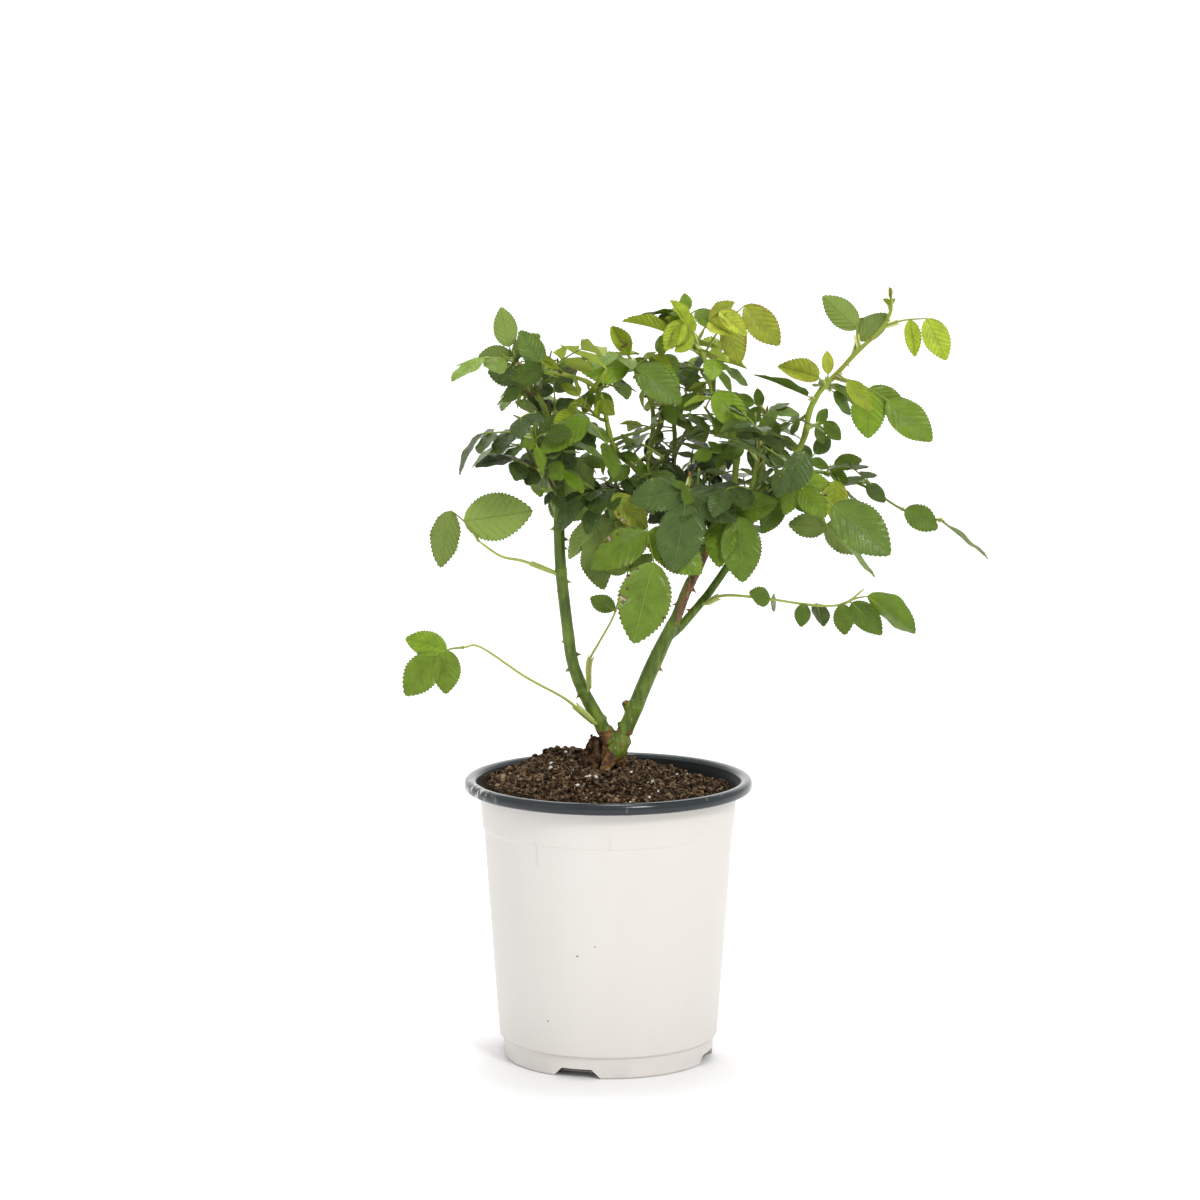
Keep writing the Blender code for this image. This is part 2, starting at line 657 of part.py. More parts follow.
def stations_for(length):
    """Where along a blade its sections are, with their share of its width."""
    return BROAD if length > BROAD_FROM else SLIM


def blade(frame, length):
    """A leaflet: a coarse ball drawn out into a short neck and a thin folded blade."""
    stations = stations_for(length)
    shape = bmesh.new()
    bmesh.ops.create_uvsphere(shape, u_segments=3, v_segments=len(stations) + 2, radius=1.0)
    levels = sorted({round(v.co.z, 4) for v in shape.verts})
    neck = NECK / length
    sections = [[blade_point(frame, length, 0.0, 0.0, 0.0)] * 3,
                [blade_point(frame, length, neck, x, z)
                 for x, z in ((0.30, 0.15), (-0.30, 0.15), (0.0, -0.28))]]
    sections += [section(frame, length, t, width) for t, width in stations]
    sections.append([blade_point(frame, length, 1.0, 0.0, 0.0)] * 3)
    for vert in shape.verts:
        corner = 2 if vert.co.x > 0.1 else 0 if vert.co.y > 0.0 else 1
        vert.co = sections[levels.index(round(vert.co.z, 4))][corner]
    bmesh.ops.triangulate(shape, faces=shape.faces[:])
    return shape


def end_leaflet(stalk, frame, length):
    """A stalk that runs on into its end leaflet, extruded as one three-sided body."""
    rings = []
    long = (stalk[-1] - stalk[0]).length > 4.0
    for i, (point, radius) in enumerate(zip(stalk if long else stalk[:1], (0.70, 0.56, 0.46))):
        way = (stalk[min(i + 1, 2)] - stalk[max(i - 1, 0)]).normalized()
        if i == 2 or not long:
            way = (way + frame[1]).normalized()
        turn = frame[1].rotation_difference(way)
        side, up = turn @ frame[2], turn @ frame[3]
        rings.append([point + (side * x + up * z) * (radius if long else 0.5)
                      for x, z in ((0.87, 0.5), (-0.87, 0.5), (0.0, -1.0))])
    rings += [section(frame, length, t, width) for t, width in stations_for(length)]
    rings.append([blade_point(frame, length, 1.0, x, z)
                  for x, z in ((0.1, 0.0), (-0.1, 0.0), (0.0, -0.1))])
    shape = bmesh.new()
    cap = bmesh.ops.create_circle(shape, cap_ends=True, segments=3, radius=1.0)["verts"]
    for vert, spot in zip(cap, rings[0]):
        vert.co = spot
    order = list(cap)
    for number, ring in enumerate(rings[1:]):
        order = draw_out(shape, order, ring, number > 0)
    tip = blade_point(frame, length, 1.0, 0.0, 0.0)
    bmesh.ops.pointmerge(shape, verts=order, merge_co=tip)
    bmesh.ops.triangulate(shape, faces=shape.faces[:])
    return shape


def closed_triangles(mesh):
    """A fused mesh in triangles, and whether each of its edges has two faces."""
    shape = bmesh.new()
    shape.from_mesh(mesh)
    between = [v for v in shape.verts if len(v.link_edges) == 2]
    bmesh.ops.dissolve_verts(shape, verts=between)
    bmesh.ops.triangulate(shape, faces=shape.faces[:])
    return shape, all(len(edge.link_faces) == 2 for edge in shape.edges)


def outer_skin(mesh):
    """Keep a fused mesh's biggest body; say whether all its edges have two faces."""
    shape, closed = closed_triangles(mesh)
    seen, bodies = set(), []
    for face in shape.faces:
        if face in seen:
            continue
        body, queue = [], [face]
        seen.add(face)
        while queue:
            one = queue.pop()
            body.append(one)
            for edge in one.edges:
                for other in edge.link_faces:
                    if other not in seen:
                        seen.add(other)
                        queue.append(other)
        bodies.append(body)
    keep = max(bodies, key=lambda body: sum(f.calc_area() for f in body))
    drop = [f for body in bodies if body is not keep for f in body]
    bmesh.ops.delete(shape, geom=drop, context="FACES")
    loose = [v for v in shape.verts if not v.link_faces]
    bmesh.ops.delete(shape, geom=loose, context="VERTS")
    shape.to_mesh(mesh)
    shape.free()
    return closed


def fuse(thing, pieces):
    """Join the pieces to a thing with one Boolean union; say whether it came out closed."""
    group = bpy.data.collections.new(thing.name + "_pieces")
    bpy.context.scene.collection.children.link(group)
    for piece in pieces:
        bpy.context.scene.collection.objects.unlink(piece)
        group.objects.link(piece)
    union = thing.modifiers.new("union", "BOOLEAN")
    union.operation = "UNION"
    union.operand_type = "COLLECTION"
    union.collection = group
    for solver in ("EXACT", "MANIFOLD"):
        union.solver = solver
        graph = bpy.context.evaluated_depsgraph_get()
        mesh = bpy.data.meshes.new_from_object(thing.evaluated_get(graph))
        closed = outer_skin(mesh)
        if closed:
            break
        bpy.data.meshes.remove(mesh)
    thing.modifiers.remove(union)
    if closed:
        old = thing.data
        thing.data = mesh
        bpy.data.meshes.remove(old)
    for piece in list(group.objects):
        bpy.data.objects.remove(piece, do_unlink=True)
    bpy.data.collections.remove(group)
    return closed


def turned(name, profile, sides, collection):
    """A solid turned from a profile of (radius, height) pairs, read top to bottom."""
    mesh = bpy.data.meshes.new(name)
    mesh.from_pydata([(r * MM, 0.0, z * MM) for r, z in profile],
                     [(i, i + 1) for i in range(len(profile) - 1)], [])
    made = bpy.data.objects.new(name, mesh)
    collection.objects.link(made)
    screw = made.modifiers.new("turn", "SCREW")
    screw.steps = sides
    screw.render_steps = sides
    screw.use_merge_vertices = True
    screw.merge_threshold = 0.00005
    screw.use_normal_calculate = True
    screw.use_smooth_shade = True
    return made


# Pot, potting mix and crown

OUTER_WALL = ((53.5, 112.5), (52.5, 97.9), (52.0, 97.3), (45.7, 9.4), (44.1, 8.4), (43.8, 0.0))
INNER_WALL = ((42.6, FLOOR), (43.1, 9.0), (44.8, 10.2), (51.1, 97.5), (51.6, 98.2), (52.4, 111.6))
RIM_ROLL = ((54.9, 116.2), (56.4, 117.5), (58.2, POT_HEIGHT), (59.6, 116.9),
            (RIM_RADIUS, 115.2), (59.7, 113.6), (58.6, 113.0))


def inner_radius(height):
    """The pot's inner radius at a height."""
    wall = INNER_WALL + RIM_ROLL[:2]
    for (r0, z0), (r1, z1) in zip(wall, wall[1:]):
        if z0 <= height <= z1:
            return r0 + (r1 - r0) * (height - z0) / (z1 - z0)
    return wall[0][0] if height < wall[0][1] else wall[-1][0]


def nursery_pot(collection, cutters):
    """The thin pot with its rolled rim, step line and four drain notches."""
    profile = ((0.0, FLOOR),) + INNER_WALL + RIM_ROLL + OUTER_WALL + ((0.0, 0.0),)
    pot = turned("pot", profile, POT_SIDES, collection)
    for number in range(NOTCHES):
        shape = bmesh.new()
        bmesh.ops.create_cube(shape, size=1.0)
        for vert in shape.verts:
            wide = NOTCH_NARROW if vert.co.z > 0 else NOTCH_WIDE + 2.0
            high = NOTCH_HEIGHT if vert.co.z > 0 else -1.0
            vert.co = Vector((35.0 if vert.co.x < 0 else 50.0, wide * vert.co.y, high))
        turn = math.radians(NOTCH_HEADING + 360.0 / NOTCHES * number)
        bmesh.ops.rotate(shape, cent=(0, 0, 0), matrix=Matrix.Rotation(turn, 3, "Z"),
                         verts=shape.verts[:])
        cutter = new_object(f"notch_cutter_{number}", shape, cutters)
        cutter.hide_render = True
        cutter.display_type = "WIRE"
        cut = pot.modifiers.new(f"notch_{number}", "BOOLEAN")
        cut.operation = "DIFFERENCE"
        cut.solver = "EXACT"
        cut.object = cutter
    return pot


def edge_height(heading):
    """The height of the mix where it meets the pot: it has sunk at the back right."""
    away = (heading - 38.0 + 180.0) % 360.0 - 180.0
    ripple = 0.25 * math.sin(math.radians(heading * 5)) + 0.15 * math.sin(math.radians(heading * 9))
    return 115.6 - 4.6 * math.exp(-(away / 30.0) ** 2 / 2) + ripple


def mix_height(x, y):
    """The height of the mix: level round the crown, heaped behind it to the left."""
    radius = math.hypot(x, y)
    edge = edge_height(math.degrees(math.atan2(y, x)))
    t = min(max((radius - PAD_RADIUS) / (50.0 - PAD_RADIUS), 0.0), 1.0)
    smooth = t * t * (3 - 2 * t)
    heap = 6.2 * math.exp(-((x + 21) ** 2 + (y - 31) ** 2) / (2 * 12.0 ** 2))
    lumps = 0.7 * math.sin(x * 0.41 + 1.3) * math.sin(y * 0.37 + 0.4)
    return PAD_HEIGHT + (edge - PAD_HEIGHT) * smooth + (heap + lumps) * min(4 * t, 4 * (1 - t), 1)


def potting_mix(collection):
    """The mix that fills the pot, 0.3 mm clear of it, with its heaped top."""
    top, neck = 112.0, 111.3
    profile = [(0.0, FLOOR + GAP), (37.0, FLOOR + GAP), (41.9, 6.4), (42.8, 8.9),
               (44.5, 10.6), (50.8, 97.5), (51.3, 98.6), (52.0, neck), (52.0, top)]
    profile += [(ring, top) for ring in reversed(MIX_RINGS)] + [(0.0, top)]
    shape = bmesh.new()
    verts = [shape.verts.new((r, 0.0, z)) for r, z in profile]
    edges = [shape.edges.new(pair) for pair in zip(verts, verts[1:])]
    bmesh.ops.spin(shape, geom=verts + edges, cent=(0, 0, 0), axis=(0, 0, 1), dvec=(0, 0, 0),
                   angle=2 * math.pi, steps=POT_SIDES, use_merge=True)
    bmesh.ops.remove_doubles(shape, verts=shape.verts[:], dist=0.001)
    for vert in shape.verts:
        if vert.co.z < neck - 0.01:
            continue
        radius = math.hypot(vert.co.x, vert.co.y)
        edge = edge_height(math.degrees(math.atan2(vert.co.y, vert.co.x)))
        if radius > 51.0:
            height = edge if vert.co.z > top - 0.01 else min(neck, edge - 0.8)
            reach = inner_radius(height) - GAP
            vert.co = Vector((vert.co.x * reach / radius, vert.co.y * reach / radius, height))
        else:
            vert.co.z = mix_height(vert.co.x, vert.co.y)
    bmesh.ops.triangulate(shape, faces=shape.faces[:])
    return new_object("potting_mix", shape, collection, True)


def crown(collection):
    """The knob that the canes spring from, flared at the mix and cut flat for each."""
    foot = PAD_HEIGHT + GAP
    points = [Vector(p) for p in ((-1.5, 1.0, foot), (-1.5, 1.0, foot + 1.2), (-1.1, 1.1, 125.0),
                                  (1.4, 1.5, 128.0), (2.4, 1.8, 131.6), (2.7, 2.0, 135.4),
                                  (2.7, 2.0, 139.5))]
    shape = tube(points, (6.2, 5.4, 4.3, 4.8, 5.7, 5.8, 3.4), 14)
    for vert in shape.verts:
        if vert.co.z > 127.0:
            vert.co.x = 2.6 + (vert.co.x - 2.6) * (1.0 + 0.28 * min((vert.co.z - 127.0) / 6, 1))
    for seat, way in ((SEAT_LEFT, aim(200, 61)), (SEAT_RIGHT, aim(0, 66))):
        found = bmesh.ops.bisect_plane(shape, geom=shape.verts[:] + shape.edges[:] + shape.faces[:],
                                       plane_co=seat, plane_no=way, clear_outer=True)
        rim = [e for e in found["geom_cut"] if isinstance(e, bmesh.types.BMEdge)]
        bmesh.ops.contextual_create(shape, geom=rim)
    bmesh.ops.triangulate(shape, faces=shape.faces[:])
    return new_object("crown", shape, collection, True)


def old_stub(collection):
    """The brown woody stump beside the crown."""
    foot = PAD_HEIGHT + GAP
    points = [Vector(p) for p in ((-9.6, 8.0, foot), (-9.6, 8.0, foot + 1.2), (-8.8, 7.6, 126.4),
                                  (-6.8, 6.6, 130.4), (-5.6, 6.2, 133.0))]
    return new_object("old_stub", tube(points, (3.9, 3.7, 3.3, 3.0, 2.4), 10), collection, True)


def loose_pieces(shoot, nudge):
    """A mass's stalks and leaflets as objects, each moved by up to a small nudge."""
    scene = bpy.context.scene.collection
    dice = random.Random(shoot.seed)
    pieces = []
    for number, (stalk, blades) in enumerate(shoot.made):
        shapes = [end_leaflet(stalk, *blades[0])]
        shapes += [blade(frame, length) for frame, length in blades[1:]]
        for shape in shapes:
            move = Vector([dice.uniform(-nudge, nudge) for _ in range(3)])
            bmesh.ops.translate(shape, verts=shape.verts[:], vec=move)
            pieces.append(new_object(f"leaf_{number}", shape, scene))
    return pieces


def build_mass(shoot, garden, collection):
    """One mass: its stem, stalks and leaflets, fused into a single solid."""
    points, radii = along(garden.paths[shoot.name], shoot.radii, 1)
    stem = new_object(shoot.name, tube(points, radii, shoot.sides), collection)
    for attempt in range(FUSE_TRIES):
        if fuse(stem, loose_pieces(shoot, NUDGE * attempt)):
            break
        if attempt >= 2:
            shoot.made.pop()
    return stem


def main():
    """Build the whole plant and its pot."""
    for thing in list(bpy.data.objects):
        bpy.data.objects.remove(thing, do_unlink=True)
    plant = bpy.data.collections.new("potted_rose_bush")
    cutters = bpy.data.collections.new("cutters")
    bpy.context.scene.collection.children.link(plant)
    bpy.context.scene.collection.children.link(cutters)
    garden = grow_everything()
    dressed = {
        nursery_pot(plant, cutters): ("pot_plastic", (0.80, 0.79, 0.77), 0.45),
        potting_mix(plant): ("potting_mix", (0.07, 0.045, 0.03), 0.95),
        crown(plant): ("crown_bark", (0.30, 0.20, 0.08), 0.75),
        old_stub(plant): ("stump_wood", (0.10, 0.06, 0.035), 0.9),
    }
    for limb in LIMBS:
        points, radii = along(garden.paths[limb.name], limb.radii, 2)
        made = new_object(limb.name, tube(points, radii, limb.sides), plant, True)
        dressed[made] = (limb.name + "_bark", limb.colour, 0.55)
    for shoot in SHOOTS:
        made = build_mass(shoot, garden, plant)
        dressed[made] = (shoot.name + "_green", shoot.colour, 0.5)
    for thing, finish in dressed.items():
        thing.data.materials.clear()
        thing.data.materials.append(material(*finish))


main()
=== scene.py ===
"""The looks of a young rose bush in its nursery pot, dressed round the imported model.

The bush is grown again by the same rule as its solids: canes and boughs by legs,
then shoots with compound leaves, and finer twigs and leaves inside the same reach.
Growth works in millimetres, and meshes are made in metres. The front is -Y.
"""

import json
import logging
import math
import random
from dataclasses import dataclass, field, replace
from enum import Enum
from typing import Callable, Iterable, Protocol, Sequence

import bpy
import numpy as np
from mathutils import Matrix, Vector, noise
from mathutils.bvhtree import BVHTree
from mathutils.kdtree import KDTree

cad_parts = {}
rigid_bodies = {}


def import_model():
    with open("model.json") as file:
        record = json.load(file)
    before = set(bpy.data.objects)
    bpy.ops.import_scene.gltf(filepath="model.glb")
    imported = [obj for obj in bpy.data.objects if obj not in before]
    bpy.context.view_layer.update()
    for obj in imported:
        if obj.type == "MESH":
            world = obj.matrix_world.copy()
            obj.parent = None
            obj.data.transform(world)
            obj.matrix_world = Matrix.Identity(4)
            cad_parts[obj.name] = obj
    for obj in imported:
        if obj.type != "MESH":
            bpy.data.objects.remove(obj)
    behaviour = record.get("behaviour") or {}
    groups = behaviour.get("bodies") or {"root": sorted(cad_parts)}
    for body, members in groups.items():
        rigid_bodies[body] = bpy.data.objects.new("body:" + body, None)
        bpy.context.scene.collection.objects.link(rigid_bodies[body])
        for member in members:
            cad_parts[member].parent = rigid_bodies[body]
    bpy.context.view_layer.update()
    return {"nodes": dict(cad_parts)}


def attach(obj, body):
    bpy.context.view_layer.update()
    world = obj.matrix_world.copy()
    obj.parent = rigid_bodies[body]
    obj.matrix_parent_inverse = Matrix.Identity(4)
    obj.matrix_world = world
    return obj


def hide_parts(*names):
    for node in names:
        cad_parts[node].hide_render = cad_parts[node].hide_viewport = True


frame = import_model()

LOG = logging.getLogger("rose_bush")
MM = 0.001
LEAF_MAP = "OFBake"
BODY = "root"

Colour = tuple[float, float, float]
Place = tuple[float, float, float]
Path = Sequence[Vector]
Section = Sequence[tuple[float, float]]
Dice = random.Random
Piece = bpy.types.Object
Material = bpy.types.Material
Socket = bpy.types.NodeSocket


# Sizes that growth shares with the solids, in millimetres and degrees

GAP = 0.3
SEAT_LEFT = Vector((-1.3, 2.0, 136.4))
SEAT_RIGHT = Vector((6.6, 2.0, 136.4))
SEAT_DEPTH = 5.0
PAIR_PLACES = {0: (), 1: (0.62,), 2: (0.42, 0.78), 3: (0.36, 0.60, 0.84)}
LEAF_WIDTH = 0.62
ROOT = 0.08
GUARD = 0.22
CORE_SHARE = 0.72
TRIES = 9
FOLD = 0.20
SAG = 0.10
GOLDEN_ANGLE = 137.5
PAD_HEIGHT = 120.6
PAD_RADIUS = 16.5
TUBE_SIDE = Vector((0.13, 0.21, 0.97))

# Seeds: the first four are added to a shoot's own seed, the fifth to a curl's number

ADDED_SEED, FINER_SEED, STEM_SEED, TWIG_SEED = 100, 200, 300, 400
CURL_SEED, TOP_SEED = 60, 77

# Shapes that only the dressed bush has

FULL_TURN = 6.28
FRONT = Vector((0.0, -0.99, 0.142))
CROWN_AXIS = (12.0, 4.0)
TINT_ORDER = "dkmfl"
# Added leaves take lighter tints above this height and darker ones below it, one tint a step: partly
# young growth, partly painted light from above and painted shade below
TINT_LEVEL, TINT_STEP = 262.0, 26.0
TWIGS_EACH = 5
DRY_SHARE = 0.3
TWIG_LEAF_PLACES = (0.35, 0.6, 0.8, 1.0)

# A leaflet: its map's halves, its outline, its rows from the midrib out, its teeth (how
# many for leaflets longer than so many millimetres)

BLADE_HALF = 0.11
HALF_ISLAND = 0.235
ISLAND_FOOT = 0.02
OUTLINE_LEAN = 0.90
OUTLINE_FULL = 0.58
OUTLINE_TIP = 0.20
INNER_ROW, UNDER_ROW, OUTER_ROW = 0.36, 0.52, 0.72
LAST_ROW = 0.975
TOOTH_DEPTH = 1.45
TOOTH_LEAN = 0.88
WAVE, RIPPLE, RIPPLES = 0.022, 0.010, 38.0
YOUNG_FOLD = (1.5, 3.2)
TEETH = ((24, 19), (16, 15), (0, 11))

# The crown seen from the front: height, left and right edge; and its gaps: x, z, half sizes

CROWN_EDGES = ((206.0, -20.0, 60.0), (222.0, -26.0, 66.0), (240.0, -34.0, 78.0),
               (262.0, -37.0, 62.0), (280.0, -46.0, 60.0), (297.0, -44.0, 40.0))
SKY_GAPS = ((7.2, 273.9, 6.5, 5.5), (4.7, 261.4, 3.0, 3.0), (29.5, 260.2, 8.5, 6.0),
            (29.9, 248.4, 4.0, 3.0), (57.1, 242.0, 5.0, 15.0))

# Single leaves low on the canes, with the length and breadth of their wings

WING_SIZES = {"low_left_leaf": (18.0, 1.1), "mid_left_leaf": (9.0, 0.6),
              "inner_low_leaf": (15.0, 0.8), "right_low_leaf": (11.0, 0.9)}
LONE_LEAVES = tuple(WING_SIZES)

# Prickles: rings of (height, length, breadth), and those set one by one, with their turn and size

PRICKLE_RINGS = ((0.0, 0.52, 0.20), (0.16, 0.40, 0.15), (0.42, 0.20, 0.09), (0.74, 0.09, 0.05))
SET_PRICKLES = (("left_cane", 0.40, 0, 2.5), ("left_cane", 0.455, 180, 1.6),
                ("left_cane", 0.60, 0, 2.2), ("left_cane", 0.72, 0, 2.4),
                ("left_cane", 0.81, 0, 2.6), ("left_cane", 0.35, 180, 2.0),
                ("right_cane", 0.30, 0, 2.5), ("right_cane", 0.52, 60, 2.4),
                ("right_cane", 0.68, 0, 2.8), ("outer_bough", 0.16, 150, 2.4))
BARE_JOINTS = {"left_cane": [0.30, 0.47], "right_cane": [0.13, 0.70]}

# The crown's knob with its burrs (start, end, radii), its scars and its green cheek

BARK_TOP, BARK_FADE = 139.5, 4.0
CROWN_TRUNK = ((-2.6, -3.6, 118.0), (-1.4, -2.6, 121.4), (0.6, -0.8, 125.0), (3.2, 0.8, 128.8),
               (4.6, 1.5, 132.4), (5.6, 2.0, 136.4))
CROWN_RADII = (2.2, 2.4, 2.9, 4.3, 4.6, 3.0)
CROWN_BURRS = (((-1.5, 1.8, 138.0), (1.4, 1.4, 132.4), 3.1, 3.6),
               ((5.4, 1.6, 135.4), (6.9, 1.0, 130.6), 3.2, 2.7),
               ((4.6, 2.0, 129.5), (5.0, 3.0, 121.5), 3.4, 2.2),
               ((0.4, 2.6, 130.5), (-1.6, 4.4, 121.0), 2.8, 2.6),
               ((1.8, -0.2, 133.8), (0.6, -1.5, 133.5), 2.2, 1.2),
               ((5.6, 1.6, 139.6), (5.0, -0.2, 138.4), 2.2, 0.9),
               ((8.6, 2.2, 146.2), (6.7, 1.2, 149.2), 2.2, 1.5),
               ((-2.6, 2.2, 142.0), (-0.8, 3.0, 141.6), 2.0, 1.2))
SCARS = ((Vector((5.6, 0.6, 149.6)), 2.6), (Vector((0.4, 3.4, 142.0)), 2.0))
GREEN_CHEEK = Vector((5.6, -3.6, 131.8))
GREEN_CHEEK_REACH = 6.3
SUNNY = Vector((0.85, -0.45, 0.25)).normalized()

# Dead wood: the old stump, a cut shoot's stub, and curled bits (place, size)

STUMP_PATH = ((-6.6, 4.6, 118.0), (-6.4, 5.2, 122.4), (-6.0, 5.4, 126.4), (-5.2, 5.2, 130.6),
              (-4.6, 5.0, 133.4))
STUMP_RADII = (6.4, 5.4, 4.6, 3.6, 2.4)
SPLINTERS = 12
CUT_STUB = ((-26.5, 3.0, 263.0), (-29.5, 2.0, 271.5), (-34.0, 1.0, 280.0))
CUT_STUB_RADII = (1.5, 1.55, 1.6)
DRY_CURLS = (((-33.0, 0.0, 256.0), 6.5), ((-29.0, -1.0, 248.5), 5.5), ((6.0, -2.5, 299.0), 6.0),
             ((-37.5, -14.0, 121.0), 6.0), ((-20.0, -18.0, 121.5), 5.5))

# Colours that several finishes share, where the lip is rubbed (metres), a tint's two shades
# and the slot of each tint

SCORCH = (0.075, 0.03, 0.01)
ASHEN = (0.4, 0.33, 0.21)
LENTICEL = (0.46, 0.4, 0.22)
SPECK = (0.1, 0.07, 0.05)
CHALK = (0.62, 0.62, 0.58)
SMUDGE_AT = (-0.0545, -0.021)
SHADE_GAINS = {"full": 0.92, "pale": 1.30}
LEAF_SLOTS = {"deep": "leaf_dark", "shade": "leaf_dark", "mid": "leaf_mid", "marked": "leaf_mid",
              "fresh": "leaf_mid", "lime": "leaf_light", "blush": "leaf_light",
              "gold": "leaf_light"}


# Shader benches and finishes


def toned(colour: Colour, gain: float) -> Colour:
    """A colour made lighter or darker."""
    return tuple(part * gain for part in colour)


def operator(operation: str, flipped: bool = False) -> "Callable[[Wire, Wire | float], Wire]":
    """A method that adds one Math node.

    Args:
        operation: The Math node's operation.
        flipped: Whether the wire is the second operand.

    Returns:
        The method.
    """
    def method(wire: "Wire", other: "Wire | float") -> "Wire":
        """Add the node."""
        return wire.bench.maths(operation, *((other, wire) if flipped else (wire, other)))
    return method


class Wire:
    """A shader value that Python's arithmetic turns into Math nodes."""

    __add__, __radd__ = operator("ADD"), operator("ADD", True)
    __sub__, __rsub__ = operator("SUBTRACT"), operator("SUBTRACT", True)
    __mul__, __rmul__ = operator("MULTIPLY"), operator("MULTIPLY", True)
    __truediv__, __pow__ = operator("DIVIDE"), operator("POWER")
    __gt__ = operator("GREATER_THAN")

    def __init__(self, bench: "Bench", socket: Socket) -> None:
        """Keep the bench and the output socket."""
        self.bench = bench
        self.socket = socket

    def __abs__(self) -> "Wire":
        """Take the size without the sign."""
        return self.bench.maths("ABSOLUTE", self)

    def fades(self, low: float, high: float) -> "Wire":
        """Rise smoothly from 0 at the low value to 1 at the high one."""
        step = self.bench.node("ShaderNodeMapRange", {"interpolation_type": "SMOOTHSTEP"},
                               {"Value": self, "From Min": low, "From Max": high})
        return Wire(self.bench, step.outputs["Result"])


class Bench:
    """A material's node tree, with one method that adds any node to it."""

    def __init__(self, name: str) -> None:
        """Start a material with its Principled shader."""
        self.material = bpy.data.materials.new(name)
        self.material.use_nodes = True
        self.tree = self.material.node_tree
        self.shader = self.tree.nodes["Principled BSDF"]

    def feed(self, socket: Socket, value: object) -> None:
        """Link or set one socket.

        Args:
            socket: The input socket.
            value: A wire, an output socket, a number, a vector or a colour.
        """
        if isinstance(value, Wire):
            self.tree.links.new(value.socket, socket)
        elif isinstance(value, Socket):
            self.tree.links.new(value, socket)
        elif isinstance(value, tuple) and socket.type == "RGBA":
            socket.default_value = (*value[:3], 1.0)
        else:
            socket.default_value = value

    def node(self, kind: str, settings: dict | None = None,
             inputs: dict | None = None) -> bpy.types.Node:
        """Add a node.

        Args:
            kind: The node's type.
            settings: Its properties, set first; "stops" sets a ramp's stops.
            inputs: Values or links for its sockets, by name or number.

        Returns:
            The new node.
        """
        made = self.tree.nodes.new(kind)
        for name, value in (settings or {}).items():
            if name == "stops":
                for _ in value[2:]:
                    made.color_ramp.elements.new(0.5)
                for stop, (where, colour) in zip(made.color_ramp.elements, value):
                    stop.position = where
                    stop.color = (*colour, 1.0)
            else:
                setattr(made, name, value)
        for key, value in (inputs or {}).items():
            self.feed(made.inputs[key], value)
        return made

    def maths(self, operation: str, *values: Wire | float) -> Wire:
        """Add one Math node with an operation and its operands, and give its result."""
        made = self.node("ShaderNodeMath", {"operation": operation}, dict(enumerate(values)))
        return Wire(self, made.outputs[0])

    def mix(self, share: Wire | float, first: object, second: object) -> Socket:
        """Mix two colours, by the share of the second, and give the mixed colour's socket."""
        made = self.node("ShaderNodeMix", {"data_type": "RGBA"}, {0: share, 6: first, 7: second})
        return made.outputs[2]

    def ramp(self, value: Wire, *stops: tuple[float, Colour]) -> Socket:
        """Turn a value into a colour through a ramp's stops."""
        return self.node("ShaderNodeValToRGB", {"stops": stops}, {"Fac": value}).outputs["Color"]

    def place(self, scale: Place = (1.0, 1.0, 1.0), turn: Place = (0.0, 0.0, 0.0)) -> Socket:
        """Object coordinates, scaled and turned.

        Args:
            scale: How much each axis is stretched.
            turn: Angles in radians.

        Returns:
            The vector's socket.
        """
        where = self.node("ShaderNodeTexCoord").outputs["Object"]
        made = self.node("ShaderNodeMapping", None,
                         {"Vector": where, "Rotation": turn, "Scale": scale})
        return made.outputs["Vector"]

    def noise(self, where: object, scale: float, detail: float = 3.0,
              distortion: float = 0.0) -> Wire:
        """A noise: its coordinates, cells a metre, finer layers and how much it swirls."""
        made = self.node("ShaderNodeTexNoise", None,
                         {"Vector": where, "Scale": scale, "Detail": detail,
                          "Distortion": distortion})
        return Wire(self, made.outputs["Fac"])

    def streaks(self, stretch: float, scale: float, detail: float) -> Wire:
        """A noise drawn out along the height: the less the stretch, the longer."""
        return self.noise(self.place((1.0, 1.0, stretch)), scale, detail)

    def cells(self, where: object, scale: float, feature: str = "F1",
              wanted: str = "Distance") -> Wire:
        """A cell pattern: what it measures on its coordinates, and the output that is read."""
        made = self.node("ShaderNodeTexVoronoi", {"feature": feature},
                         {"Vector": where, "Scale": scale})
        return Wire(self, made.outputs[wanted])

    def attribute(self, name: str) -> Wire:
        """A mesh attribute's value."""
        made = self.node("ShaderNodeAttribute", {"attribute_name": name})
        return Wire(self, made.outputs["Fac"])

    def split(self, vector: object) -> list[Wire]:
        """The three parts of a vector."""
        parts = self.node("ShaderNodeSeparateXYZ", None, {"Vector": vector}).outputs
        return [Wire(self, part) for part in parts]

    def finish(self, colour: object, roughness: object, height: Wire | None = None,
               depth: float = 0.0001, **fixed: float) -> Material:
        """Feed the shader.

        Args:
            colour: The base colour.
            roughness: The roughness.
            height: The relief's height from 0 to 1, if it has one.
            depth: The relief's depth in metres.
            fixed: Other sockets' plain values, with _ for a space.

        Returns:
            The material.
        """
        self.feed(self.shader.inputs["Base Color"], colour)
        self.feed(self.shader.inputs["Roughness"], roughness)
        if height is not None:
            bump = self.node("ShaderNodeBump", None,
                             {"Strength": 1.0, "Distance": depth, "Height": height})
            self.feed(self.shader.inputs["Normal"], bump.outputs["Normal"])
        for name, value in fixed.items():
            self.shader.inputs[name.replace("_", " ")].default_value = value
        return self.material


